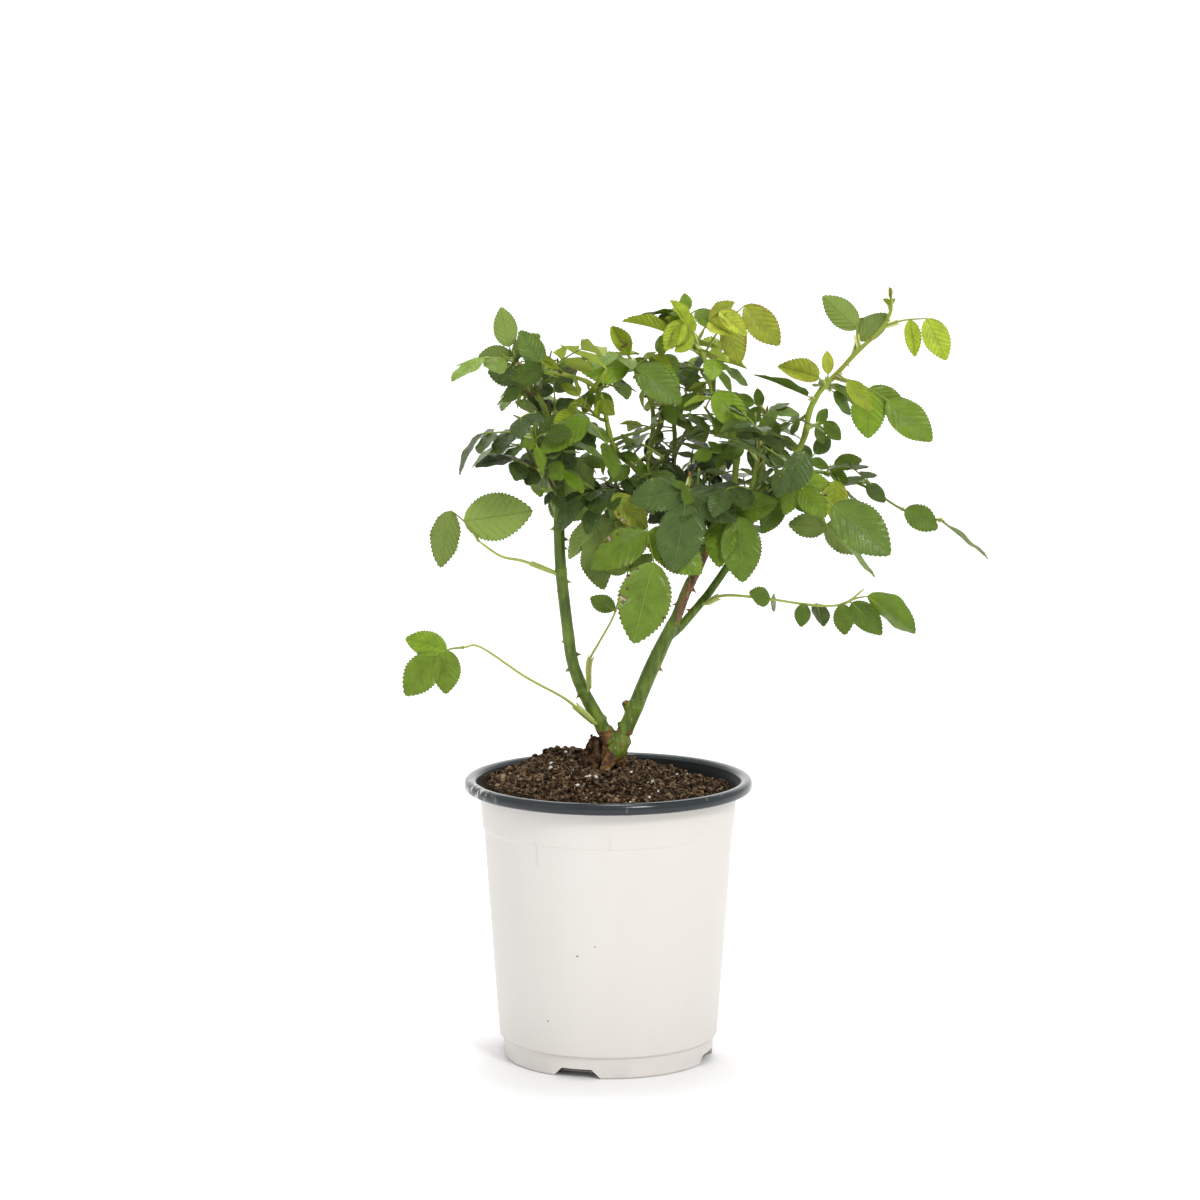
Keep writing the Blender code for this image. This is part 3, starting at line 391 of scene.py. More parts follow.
@dataclass(frozen=True)
class LeafFinish:
    """A leaf's two faces, read from its own map: the upper face left, the lower right."""

    name: str
    upper: Colour
    lower: Colour
    vein: Colour
    margin: Colour
    blush: float = 0.0
    roughness: float = 0.34
    spots: float = 0.0
    veins_a_side: float = 8.0

    def make(self) -> Material:
        """Make the material, with midrib, side veins, network and margin."""
        bench = Bench(self.name)
        chart = bench.node("ShaderNodeUVMap", {"uv_map": LEAF_MAP}).outputs["UV"]
        u, v, _ = bench.split(chart)
        under = u > 0.5
        offset = (u - 0.25 - under * 0.5) / HALF_ISLAND
        across = abs(offset)
        along = (v - ISLAND_FOOT) / (1.0 - 2.0 * ISLAND_FOOT)
        outline = bench.maths("SINE", bench.maths("MAXIMUM", along, 0.001) ** OUTLINE_LEAN * math.pi)
        outline = bench.maths("MAXIMUM", outline, 0.0) ** (along * OUTLINE_TIP + OUTLINE_FULL)
        edge = across / (outline + 0.04)
        lean = across * 0.22 + across * across * 0.10
        phase = (along - lean) * self.veins_a_side + (offset > 0.0) * 0.5
        off = abs(bench.maths("FRACT", phase + 4.0) - 0.5)
        lateral = off.fades(0.45, 0.50) * (1.0 - edge.fades(0.80, 1.0))
        rib = 1.0 - across.fades(0.008, 0.036)
        flat = bench.node("ShaderNodeCombineXYZ", None,
                          {"X": offset * 0.31, "Y": along, "Z": under}).outputs["Vector"]
        net = 1.0 - bench.cells(flat, 34.0, "DISTANCE_TO_EDGE").fades(0.0, 0.10)
        mottle = bench.noise(flat, 3.2, 3.0)
        cast = bench.noise(flat, 14.0, 2.0)
        face = bench.mix(mottle.fades(0.30, 0.75), self.upper, toned(self.upper, 0.58))
        face = bench.mix(lateral * 0.60 + net * 0.16, face, self.vein)
        face = bench.mix(rib * 0.62, face, self.vein)
        back = bench.mix(lateral * 0.40 + net * 0.22 + rib * 0.45, self.lower, self.vein)
        colour = bench.mix(under, face, back)
        rim = edge.fades(0.62, 1.04) * (mottle.fades(0.35, 0.60) * 0.8 + 0.2)
        colour = bench.mix(rim * self.blush, colour, self.margin)
        if self.spots:
            blot = bench.noise(flat, 6.0, 4.0) + edge * 0.16 - (1.0 - (offset > -0.15)) * 0.10
            more = self.spots * 0.14
            burnt = blot.fades(0.80 - more, 0.82 - more)
            scorched = bench.mix(blot.fades(0.84 - more, 0.88 - more), SCORCH, ASHEN)
            colour = bench.mix(burnt, colour, scorched)
        rough = cast * 0.12 + (self.roughness - 0.06) + under * 0.26
        side = under * 2.0 - 1.0
        puff = bench.maths("SINE", phase * 6.2832) * (1.0 - edge.fades(0.85, 1.0)) * across
        height = (lateral * 0.26 + rib * 0.5 + net * 0.14 + puff * 0.24) * side + cast * 0.30
        return bench.finish(colour, rough, height, 0.00062, Specular_IOR_Level=0.34)


@dataclass(frozen=True)
class StalkFinish:
    """A green twig or leaf stalk, reddened on its sunny side."""

    name: str
    green: Colour
    sunny: Colour
    share: float = 0.5

    def make(self) -> Material:
        """Make the material."""
        bench = Bench(self.name)
        patch = bench.streaks(0.35, 90.0, 2.0).fades(0.46, 0.66)
        streak = bench.streaks(0.15, 900.0, 3.0)
        colour = bench.mix(patch * self.share, self.green, self.sunny)
        colour = bench.mix(streak.fades(0.45, 0.75) * 0.5, colour, toned(self.green, 0.6))
        return bench.finish(colour, streak * 0.15 + 0.34, streak, 0.00008,
                            Specular_IOR_Level=0.3)


@dataclass(frozen=True)
class BarkFinish:
    """Cane rind: green, ripened red-brown and rough at the crown, by its attributes."""

    name: str
    green: Colour
    pale: Colour
    ripe: Colour
    knob: Colour
    dark: Colour

    def make(self) -> Material:
        """Make the material, with streaks, lenticels and scratches."""
        bench = Bench(self.name)
        ripe, knob, node = (bench.attribute(name) for name in ("ripe", "knob", "node"))
        where = bench.place()
        streak = bench.streaks(0.10, 700.0, 4.0)
        patch = bench.streaks(0.4, 110.0, 3.0)
        rind = bench.mix(patch.fades(0.38, 0.68), self.green, self.pale)
        rind = bench.mix(streak.fades(0.48, 0.66) * 0.55, rind, toned(self.green, 0.50))
        pale_streak = bench.noise(bench.place((1.0, 1.0, 0.05), (0.0, 0.0, 1.0)), 520.0, 3.0)
        rind = bench.mix(pale_streak.fades(0.58, 0.72) * 0.45, rind, self.pale)
        rind = bench.mix(node * 0.35, rind, self.pale)
        scratch = bench.noise(bench.place((1.0, 1.0, 0.3), (0.4, 0.2, 0.0)), 850.0, 2.0)
        rind = bench.mix(scratch.fades(0.70, 0.76) * 0.7, rind, LENTICEL)
        dots = 1.0 - bench.cells(bench.place((1.0, 1.0, 0.55)), 330.0).fades(0.07, 0.13)
        few = bench.noise(where, 160.0, 1.0).fades(0.52, 0.60)
        rind = bench.mix(dots * few * 0.8, rind, LENTICEL)
        brown = bench.mix(streak.fades(0.35, 0.7), self.ripe, self.dark)
        share = (ripe + (patch - 0.5) * 0.5 * (ripe > 0.02)).fades(0.30, 0.62)
        colour = bench.mix(share, rind, brown)
        crust = bench.noise(where, 420.0, 5.0, 0.6)
        bark = bench.mix(crust.fades(0.36, 0.60), self.dark, self.knob)
        ring = bench.noise(bench.place((0.35, 0.35, 1.0), (0.5, 0.3, 0.0)), 700.0, 3.0)
        bark = bench.mix(ring.fades(0.52, 0.66) * 0.5, bark, self.dark)
        near_bark = bench.attribute("rough")
        moss = bench.noise(where, 260.0, 4.0).fades(0.44, 0.62) * near_bark
        rind = bench.mix(moss * 0.65, rind, self.ripe)
        colour = bench.mix(near_bark * moss * 0.65, colour, rind)
        rough_bark = (knob + (crust - 0.5) * 1.1 * (knob > 0.02)).fades(0.38, 0.60)
        colour = bench.mix(rough_bark, colour, bark)
        rough = rough_bark * 0.40 + share * 0.12 + streak * 0.14 + 0.28
        height = streak * 0.25 + crust * rough_bark * 1.2 + dots * few * 0.4
        return bench.finish(colour, rough, height, 0.00022, Specular_IOR_Level=0.35)


@dataclass(frozen=True)
class BitFinish:
    """Loose bits whose tone changes from one to the next."""

    name: str
    tones: tuple[Colour, Colour, Colour]
    scale: float = 260.0
    roughness: float = 0.88
    depth: float = 0.0002

    def make(self) -> Material:
        """Make the material."""
        bench = Bench(self.name)
        where = bench.place()
        tone = bench.noise(where, self.scale, 2.0)
        grain = bench.noise(where, 2600.0, 4.0)
        low, mid, high = self.tones
        colour = bench.ramp(tone + (grain - 0.5) * 0.25, (0.34, low), (0.50, mid), (0.66, high))
        return bench.finish(colour, grain * 0.12 + (self.roughness - 0.06), grain, self.depth,
                            Specular_IOR_Level=0.08)


@dataclass(frozen=True)
class WallFinish:
    """Off-white moulded plastic with faint flow marks, scuffs and specks of soil."""

    name: str
    white: Colour
    warm: Colour
    dirt: Colour

    def make(self) -> Material:
        """Make the material."""
        bench = Bench(self.name)
        where = bench.place()
        _, _, z = bench.split(where)
        cloud = bench.streaks(0.35, 16.0, 3.0)
        colour = bench.mix(cloud.fades(0.35, 0.65), self.white, self.warm)
        scuff = bench.streaks(0.06, 260.0, 4.0).fades(0.66, 0.76)
        band = bench.noise(where, 22.0, 1.0).fades(0.50, 0.66)
        colour = bench.mix(scuff * band * 0.22, colour, self.dirt)
        low = (1.0 - z.fades(0.0, 0.012)) * bench.noise(where, 90.0, 4.0).fades(0.42, 0.72)
        colour = bench.mix(low * 0.16, colour, self.dirt)
        speck = 1.0 - bench.cells(where, 105.0).fades(0.035, 0.06)
        rare = bench.noise(where, 31.0, 0.0).fades(0.60, 0.63)
        colour = bench.mix(speck * rare * 0.85, colour, SPECK)
        fine = bench.noise(where, 2200.0, 2.0)
        rough = cloud * 0.14 + fine * 0.06 + scuff * 0.10 + 0.33
        return bench.finish(colour, rough, fine * 0.35 + cloud * 0.65, 0.00005)


@dataclass(frozen=True)
class LipFinish:
    """Dark moulded plastic with rubbed marks, dried splashes and soil dust."""

    name: str
    base: Colour
    dust: Colour
    roughness: float
    smudge: float
    flecks: float
    shine: float = 1.0

    def make(self) -> Material:
        """Make the material."""
        bench = Bench(self.name)
        where = bench.place()
        x, y, _ = bench.split(where)
        film = bench.noise(where, 70.0, 4.0)
        colour = bench.mix(film.fades(0.45, 0.80) * 0.35, self.base, self.dust)
        corner = 1.0 - bench.maths("SQRT", (x - SMUDGE_AT[0]) ** 2.0
                                   + (y - SMUDGE_AT[1]) ** 2.0).fades(0.004, 0.024)
        rub = bench.streaks(0.5, 300.0, 5.0).fades(0.50, 0.62)
        colour = bench.mix(corner * rub * self.smudge, colour, CHALK)
        spot = 1.0 - bench.cells(bench.place((1.0, 1.0, 0.5)), 260.0).fades(0.10, 0.20)
        some = bench.noise(where, 60.0, 1.0).fades(0.52, 0.62)
        colour = bench.mix(spot * some * self.flecks, colour, CHALK)
        fine = bench.noise(where, 1500.0, 3.0)
        rough = film * 0.16 + fine * 0.05 + corner * rub * 0.25 + (self.roughness - 0.08)
        return bench.finish(colour, rough, fine * 0.5 + film * 0.5, 0.00004,
                            Specular_IOR_Level=self.shine)


# How the bush grows


class Tint(Enum):
    """The leaf colours that the sprays are dealt; its value is the letter used in rows."""

    DEEP = "d"
    SHADE = "k"
    MID = "m"
    FRESH = "f"
    LIME = "l"
    BLUSH = "b"
    GOLD = "g"
    MARKED = "s"


@dataclass(frozen=True)
class Branch:
    """What grows from a parent at a place: its legs (mm, heading, rise) and its radii."""

    name: str
    parent: str
    at: float
    legs: tuple
    radii: tuple

    def length(self) -> float:
        """How long it is in all."""
        return sum(leg[0] for leg in self.legs)


@dataclass(frozen=True)
class Limb(Branch):
    """A cane or bough, with where its ripe red-brown rind starts and how ripe it gets."""

    ripe: tuple[float, float] = (0.0, 0.0)


@dataclass(frozen=True)
class Leaf:
    """A compound leaf: its stalk from the stem, then the end leaflet and its pairs.

    Lengths are in millimetres and angles in degrees. A side of 1 or -1 keeps only one
    leaflet of each pair; small is a side leaflet's size against the end one.
    """

    at: float
    heading: float
    rise: float
    reach: float
    pairs: int
    blade: float
    tip_heading: float
    tip_rise: float
    roll: float
    spread: float = 58.0
    hang: float = 0.15
    side: int = 0
    small: float = 0.86


@dataclass(frozen=True)
class Shoot(Branch):
    """A mass of leaves: one stem, its set leaves and the numbers added by the rule.

    The letters of looks give each set leaf its tint, as a capital where the leaf
    shows its underside to the front; fill is the tint of the added leaves.
    """

    leaves: tuple = ()
    extra: int = 0
    extra_blade: float = 17.0
    seed: int = 1
    looks: str = ""
    fill: str = "m"
    finer: int = 2


@dataclass(frozen=True)
class Blade:
    """A leaflet: its base, way, side and up vectors, and its length."""

    base: Vector
    way: Vector
    side: Vector
    up: Vector
    length: float

    def point(self, along: float, wide: float, lift: float) -> Vector:
        """A point of the blade.

        Args:
            along: From 0 at the base to 1 at the tip.
            wide: Millimetres to the side of the midrib.
            lift: Millimetres above the folded and drooping blade.

        Returns:
            The point, in millimetres.
        """
        fold = FOLD * abs(wide)
        sag = -SAG * self.length * along * along
        return (self.base + self.way * (self.length * along) + self.side * wide
                + self.up * (fold + sag + lift))


@dataclass
class Spray:
    """A compound leaf that has been placed, ready to be modelled."""

    stalk: list[Vector]
    blades: list[Blade]
    tint: Tint
    turned: int
    shoot: str
    fine: bool = False


@dataclass(frozen=True)
class Twig:
    """A side twig that only the dressed bush has: its path, its radii, whether it is dry."""

    points: list[Vector]
    radii: tuple
    dry: bool = False


LIMBS = (
    Limb("left_cane", "crown_left", 1.0,
         ((9.6, 200, 61), (11.4, 202, 62), (12.9, 206, 69), (15.2, 224, 79), (23.4, 219, 82),
          (17.6, 232, 86), (16.5, 0, 90), (14.4, 148, 82)),
         (3.1, 2.9, 2.7, 2.6, 2.5, 2.45, 2.4, 2.3, 2.0)),
    Limb("right_cane", "crown_right", 1.0,
         ((9.8, 0, 66), (13.4, 349, 68), (10.3, 346, 66), (12.0, 338, 64), (8.6, 345, 64),
          (12.0, 334, 68), (10.9, 348, 63), (10.2, 346, 66), (7.7, 345, 61)),
         (3.3, 3.3, 3.3, 3.3, 2.8, 2.4, 2.2, 2.1, 2.0, 1.9), (0.46, 0.9)),
    Limb("outer_bough", "right_cane", 0.50,
         ((9.8, 12, 48), (9.7, 24, 47), (18.1, 22, 53), (15.3, 24, 61), (12.7, 22, 65)),
         (1.9, 1.85, 1.75, 1.65, 1.5, 1.3)),
    Limb("right_bough", "right_cane", 1.0,
         ((10.0, 353, 41), (9.7, 0, 37), (9.7, 7, 36)), (1.7, 1.6, 1.5, 1.4), (0.0, 0.6)),
    Limb("centre_bough", "right_cane", 0.86,
         ((8.7, 135, 49), (13.2, 169, 48), (12.2, 168, 45), (8.8, 170, 48)),
         (1.5, 1.45, 1.35, 1.25, 1.1)),
)

SHOOTS = (
    Shoot("low_left_leaf", "left_cane", 0.09,
        ((11.3, 222, 38), (9.6, 211, 37), (18.8, 202, 30), (22.3, 193, 35), (7.2, 196, 2)),
        (0.9, 0.75, 0.6, 0.55, 0.5, 0.45),
        (Leaf(1.0, 191, -12, 11, 1, 22, 190, -50, -70, spread=57),),
        seed=11, looks="f", finer=0),
    Shoot("mid_left_leaf", "left_cane", 0.625,
        ((13.9, 198, 22), (9.9, 192, 14), (11.2, 193, 35)), (0.8, 0.65, 0.55, 0.5),
        (Leaf(1.0, 190, 49, 17, 1, 24, 215, -72, 100, spread=160, side=1, small=1.25),),
        seed=12, looks="M", finer=0),
    Shoot("inner_low_leaf", "left_cane", 0.25,
        ((13.3, 270, 63), (10.7, 316, 57), (11.4, 339, 60), (9.9, 343, 70)),
        (0.75, 0.6, 0.5, 0.5, 0.45),
        (Leaf(0.84, 260, 41, 1, 0, 13, 205, 30, 70), Leaf(1.00, 62, 65, 19, 1, 15, 130, 60, 135)),
        seed=13, looks="mM", finer=0),
    Shoot("right_low_leaf", "outer_bough", 0.3,
        ((9.2, 339, 24), (18.6, 341, -2), (18.5, 347, -6), (12.4, 351, 3), (11.2, 347, 36)),
        (0.8, 0.65, 0.55, 0.5, 0.5, 0.45),
        (Leaf(0.40, 287, -7, 2, 0, 12, 225, 20, -85), Leaf(0.41, 87, -19, 2, 0, 11, 70, -20, 90),
         Leaf(0.56, 266, 14, 3, 0, 10, 245, -65, -25), Leaf(0.62, 80, 15, 2, 0, 12, 55, -55, -5),
         Leaf(0.80, 268, 13, 2, 0, 13, 280, -65, 10), Leaf(0.83, 51, -5, 4, 0, 19, 20, -45, -70),
         Leaf(0.83, 353, 18, 9, 0, 25, 350, -30, -45)),
        seed=14, looks="mmkkmmm", finer=0),
    Shoot("centre_front_leaves", "right_cane", 0.93,
        ((12.2, 246, 57), (9.9, 237, 61), (7.6, 230, 70)), (1.1, 1.0, 0.9, 0.8),
        (Leaf(1.00, 259, -36, 15, 1, 29, 225, -80, -45, spread=80),
         Leaf(0.67, 122, 0, 12, 1, 19, 160, -22, -75), Leaf(0.26, 323, 7, 19, 1, 27, 290, -80, 20)),
        extra_blade=20, seed=15, looks="ddm", fill="k", finer=8),
    Shoot("left_centre_leaves", "centre_bough", 0.75,
        ((7.8, 230, -1), (8.5, 226, -12), (10.9, 216, -21)), (1.1, 1.0, 0.9, 0.8),
        (Leaf(0.54, 230, 52, 40, 1, 25, 210, -25, -30, spread=75),
         Leaf(0.96, 148, 34, 12, 1, 21, 145, -3, 75), Leaf(1.00, 251, -1, 6, 0, 12, 225, -60, -40),
         Leaf(0.84, 134, -53, 15, 1, 27, 75, -75, -50, spread=45),
         Leaf(0.67, 252, 6, 11, 0, 20, 345, -45, 65),
         Leaf(0.49, 290, -42, 39, 1, 34, 220, -70, -55, spread=62)),
        extra=2, extra_blade=18, seed=16, looks="mMdMgs", fill="k", finer=14),
    Shoot("right_tall_shoot", "right_bough", 1.0,
        ((14.8, 26, 51), (8.7, 28, 61), (10.5, 44, 74), (9.9, 0, 61), (8.1, 0, 45), (12.9, 347, 48),
         (12.9, 348, 43), (8.4, 0, 61), (7.4, 0, 87)),
        (1.3, 1.25, 1.2, 1.1, 1.05, 0.95, 0.85, 0.75, 0.65, 0.5),
        (Leaf(0.46, 241, 41, 6, 0, 18, 195, 20, -75), Leaf(0.38, 247, 16, 9, 0, 26, 200, 25, 5),
         Leaf(0.48, 355, 79, 4, 0, 10, 100, 80, -10), Leaf(0.56, 286, -8, 13, 0, 16, 330, -45, 55),
         Leaf(0.46, 55, -20, 8, 0, 13, 15, -50, 50),
         Leaf(0.54, 349, -22, 24, 1, 25, 340, -40, 65, hang=1.0),
         Leaf(0.64, 63, 62, 13, 1, 20, 155, 40, 100, side=1),
         Leaf(0.68, 94, 56, 14, 0, 11, 0, -37, 70), Leaf(0.90, 180, 87, 5, 1, 5, 180, 90, -90),
         Leaf(0.80, 0, 11, 18, 1, 19, 335, -60, 60, side=-1),
         Leaf(0.32, 150, -31, 10, 1, 9, 165, -20, -35), Leaf(0.24, 38, 17, 10, 1, 11, 15, -40, 80)),
        extra=1, extra_blade=15, seed=17, looks="bmblmfMmllmm", fill="f", finer=2),
    Shoot("arching_shoot", "centre_bough", 1.0,
        ((12.3, 230, 33), (9.6, 222, 62), (14.4, 248, 63), (8.8, 228, 52), (8.1, 196, 28),
         (13.8, 189, 13), (9.6, 180, 15)), (1.1, 1.1, 1.05, 1.0, 0.95, 0.85, 0.7, 0.6),
        (Leaf(0.85, 236, 38, 3, 1, 18, 160, 55, -60, side=1),
         Leaf(0.65, 73, -33, 12, 1, 13, 35, -35, 95), Leaf(0.29, 146, -9, 11, 1, 9, 150, 15, -60)),
        extra=2, extra_blade=16, seed=18, looks="kmm", fill="f", finer=4),
    Shoot("upper_left_shoot", "left_cane", 1.0,
        ((17.2, 180, 79), (12.8, 197, 58), (11.1, 201, 60)), (1.6, 1.3, 1.05, 0.8),
        (Leaf(0.97, 208, 60, 9, 1, 17, 120, 65, 145, spread=66),
         Leaf(0.62, 124, 29, 8, 1, 16, 165, 15, -65, side=1),
         Leaf(0.09, 111, -23, 13, 1, 15, 160, -25, -35),
         Leaf(0.21, 308, -20, 11, 1, 20, 220, -77, -45, spread=50),
         Leaf(0.39, 67, 3, 13, 1, 12, 30, 5, 25), Leaf(0.19, 84, 65, 21, 2, 12, 140, 63, -50)),
        extra=2, seed=19, looks="Mkkdkd", fill="k", finer=6),
    Shoot("centre_top_shoot", "right_bough", 0.33,
        ((14.9, 67, 77), (9.5, 68, 83), (8.0, 193, 57), (18.2, 180, 71), (13.5, 163, 75),
         (5.2, 158, 59), (13.5, 141, 62)), (1.4, 1.35, 1.3, 1.1, 1.0, 0.9, 0.8, 0.6),
        (Leaf(0.55, 269, 14, 8, 0, 20, 335, -45, 60), Leaf(0.56, 261, -17, 6, 0, 12, 190, -10, 0),
         Leaf(0.63, 58, 6, 14, 1, 13, 20, -35, 40),
         Leaf(0.88, 334, 52, 17, 1, 16, 325, -35, 50, spread=35),
         Leaf(0.73, 27, 46, 28, 1, 22, 350, -50, 75, hang=1.6, small=0.9),
         Leaf(0.86, 215, 57, 13, 2, 15, 215, -50, -50, spread=50),
         Leaf(0.59, 122, 26, 18, 1, 11, 155, -35, -40), Leaf(0.20, 213, 18, 13, 1, 9, 210, -15, -65),
         Leaf(0.99, 78, 83, 3, 0, 8, 110, 75, -20)),
        extra=1, extra_blade=16, seed=20, looks="flmbblkmf", fill="f", finer=6),
    Shoot("top_centre_shoot", "centre_bough", 0.85,
        ((9.4, 67, 70), (10.5, 0, 83), (10.8, 247, 78), (13.7, 217, 61), (6.2, 215, 55)),
        (1.1, 1.05, 1.0, 0.9, 0.8, 0.7),
        (Leaf(0.96, 258, -2, 7, 0, 21, 200, -1, -70), Leaf(0.98, 111, 24, 4, 0, 16, 175, -5, 5),
         Leaf(0.93, 273, 4, 13, 0, 24, 345, -35, 65),
         Leaf(0.69, 10, 55, 37, 2, 13, 350, -35, 35, spread=72),
         Leaf(0.80, 154, 61, 9, 0, 14, 165, 60, -65), Leaf(0.59, 312, 3, 15, 1, 12, 350, 10, 75),
         Leaf(0.2, 248, -9, 23, 1, 11, 215, -25, -60)),
        extra=2, extra_blade=16, seed=41, looks="ffmflkk", fill="f", finer=6),
    Shoot("trailing_shoot", "right_bough", 0.82,
        ((15.9, 44, 25), (17.3, 13, -3), (17.2, 0, -20), (17.5, 345, -30), (15.0, 352, -15)),
        (0.9, 0.8, 0.7, 0.6, 0.5, 0.45),
        (Leaf(0.39, 308, 39, 6, 1, 12, 350, 15, 75, side=-1),
         Leaf(0.54, 332, -3, 5, 0, 11, 345, -45, 65), Leaf(0.79, 286, 2, 4, 0, 16, 345, -25, 65),
         Leaf(1.00, 0, -27, 2, 0, 25, 355, -36, -10), Leaf(0.38, 287, -7, 14, 0, 17, 255, -75, -10),
         Leaf(0.43, 291, -24, 12, 0, 27, 355, -55, -10), Leaf(0.28, 50, 39, 10, 1, 11, 30, 40, 55)),
        extra=1, extra_blade=15, seed=22, looks="mkmMgMm", fill="k", finer=2),
    Shoot("lower_right_leaves", "outer_bough", 1.0,
        ((9.9, 320, 19), (12.3, 305, 5), (11.4, 311, -21)), (1.1, 1.0, 0.9, 0.8),
        (Leaf(0.96, 293, -6, 16, 0, 31, 340, -35, 65), Leaf(0.85, 350, -63, 15, 0, 22, 20, -30, -75),
         Leaf(0.86, 340, -63, 16, 0, 16, 165, 5, 85), Leaf(0.88, 336, -58, 20, 0, 24, -5, -40, -10),
         Leaf(0.44, 258, -14, 12, 0, 18, 215, -55, -50), Leaf(0.63, 73, -3, 12, 1, 18, 30, -15, 30),
         Leaf(0.70, 223, -17, 5, 0, 11, 315, -45, 40)),
        extra=2, extra_blade=18, seed=23, looks="kMMMkfm", fill="k", finer=4),
    Shoot("mid_right_leaves", "right_bough", 0.92,
        ((7.8, 302, 24), (9.4, 312, 31)), (0.9, 0.85, 0.75),
        (Leaf(1.00, 302, 50, 11, 0, 18, 225, -60, -45),
         Leaf(0.80, 259, 17, 13, 0, 12, 230, -65, -30), Leaf(0.80, 21, -49, 7, 1, 17, 325, -40, 60)),
        extra=1, extra_blade=16, seed=24, looks="ddf", fill="d", finer=8),
    Shoot("upper_mid_leaves", "right_bough", 0.62,
        ((13.5, 61, 47), (12.8, 66, 70), (11.6, 0, 86)), (1.0, 0.95, 0.9, 0.7),
        (Leaf(1.00, 308, 22, 3, 1, 12, 350, -5, 30), Leaf(0.84, 253, 24, 9, 0, 12, 315, -35, 55),
         Leaf(0.96, 230, 34, 10, 1, 10, 190, 15, -75), Leaf(0.55, 237, 9, 16, 1, 11, 200, -20, -65)),
        extra=2, extra_blade=15, seed=25, looks="mmmk", fill="m", finer=10),
    Shoot("front_left_leaves", "left_cane", 0.86,
        ((12, 250, 35), (14, 240, 52), (12, 250, 62)), (1.0, 0.95, 0.9, 0.7),
        extra=4, seed=26, fill="k", finer=12),
    Shoot("front_right_leaves", "right_bough", 0.5,
        ((12, 290, 45), (14, 285, 58), (12, 300, 62)), (1.0, 0.95, 0.9, 0.7),
        extra=4, extra_blade=16, seed=27, fill="d", finer=10),
    Shoot("rear_left_shoot", "left_cane", 0.8,
        ((16, 110, 40), (16, 118, 55), (16, 95, 60), (12, 80, 70)), (1.1, 1.05, 1.0, 0.9, 0.7),
        extra=5, extra_blade=18, seed=28, fill="m", finer=14),
    Shoot("rear_centre_shoot", "centre_bough", 0.45,
        ((16, 95, 40), (18, 85, 55), (16, 95, 60), (12, 100, 70)), (1.1, 1.05, 1.0, 0.9, 0.7),
        extra=5, extra_blade=18, seed=29, fill="k", finer=16),
    Shoot("rear_right_shoot", "outer_bough", 0.62,
        ((16, 60, 42), (18, 72, 52), (16, 80, 58), (12, 70, 66)), (1.1, 1.05, 1.0, 0.9, 0.7),
        extra=5, extra_blade=18, seed=30, fill="m", finer=14),
    Shoot("rear_low_shoot", "outer_bough", 0.85,
        ((16, 142, 20), (16, 128, 16), (12, 120, 4)), (1.0, 0.95, 0.85, 0.7),
        extra=3, extra_blade=18, seed=31, fill="k", finer=8),
)

# Young leaves at the top of the two middle shoots: their looks, then the leaves

TOP_LEAVES = {
    "centre_top_shoot": ("flffLl", (
        Leaf(0.97, 185, 38, 8, 0, 18, 182, -6, 12), Leaf(0.90, 188, 14, 11, 0, 20, 182, 20, 34),
        Leaf(0.98, 150, 62, 5, 0, 14, 184, -24, -38), Leaf(0.99, 15, 42, 5, 0, 13, 325, -30, 52),
        Leaf(0.84, 205, 14, 15, 1, 16, 200, -50, -55, spread=80),
        Leaf(0.90, 150, 25, 9, 1, 14, 190, -50, 60))),
    "top_centre_shoot": ("ff", (
        Leaf(0.97, 60, 45, 9, 1, 15, 330, 20, 60), Leaf(0.90, 300, 10, 8, 0, 17, 350, -30, 70))),
}

# Finishes of this bush and pot

TINT_FINISHES = {
    Tint.DEEP: LeafFinish("deep", (0.05, 0.092, 0.012), (0.125, 0.18, 0.045),
                          (0.19, 0.24, 0.08), (0.06, 0.1, 0.015), 0.2, 0.25),
    Tint.SHADE: LeafFinish("shade", (0.082, 0.144, 0.008), (0.155, 0.225, 0.04),
                           (0.21, 0.29, 0.06), (0.1, 0.15, 0.015), 0.2, 0.3),
    Tint.MID: LeafFinish("mid", (0.118, 0.206, 0.007), (0.185, 0.262, 0.048),
                         (0.26, 0.35, 0.065), (0.15, 0.22, 0.02), 0.2, 0.32),
    Tint.FRESH: LeafFinish("fresh", (0.168, 0.28, 0.008), (0.23, 0.325, 0.045),
                           (0.33, 0.43, 0.075), (0.24, 0.34, 0.03), 0.25, 0.32),
    Tint.LIME: LeafFinish("lime", (0.325, 0.43, 0.016), (0.36, 0.46, 0.055),
                          (0.48, 0.55, 0.12), (0.45, 0.43, 0.05), 0.35, 0.34),
    Tint.BLUSH: LeafFinish("blush", (0.4, 0.47, 0.032), (0.38, 0.44, 0.065),
                           (0.54, 0.6, 0.15), (0.48, 0.17, 0.03), 0.5, 0.34),
    Tint.GOLD: LeafFinish("gold", (0.25, 0.325, 0.012), (0.35, 0.41, 0.04),
                          (0.48, 0.5, 0.1), (0.62, 0.52, 0.04), 0.75, 0.38, 0.9),
    Tint.MARKED: LeafFinish("marked", (0.135, 0.23, 0.008), (0.21, 0.3, 0.05),
                            (0.27, 0.37, 0.06), (0.23, 0.27, 0.03), 0.4, 0.32, 0.75),
}
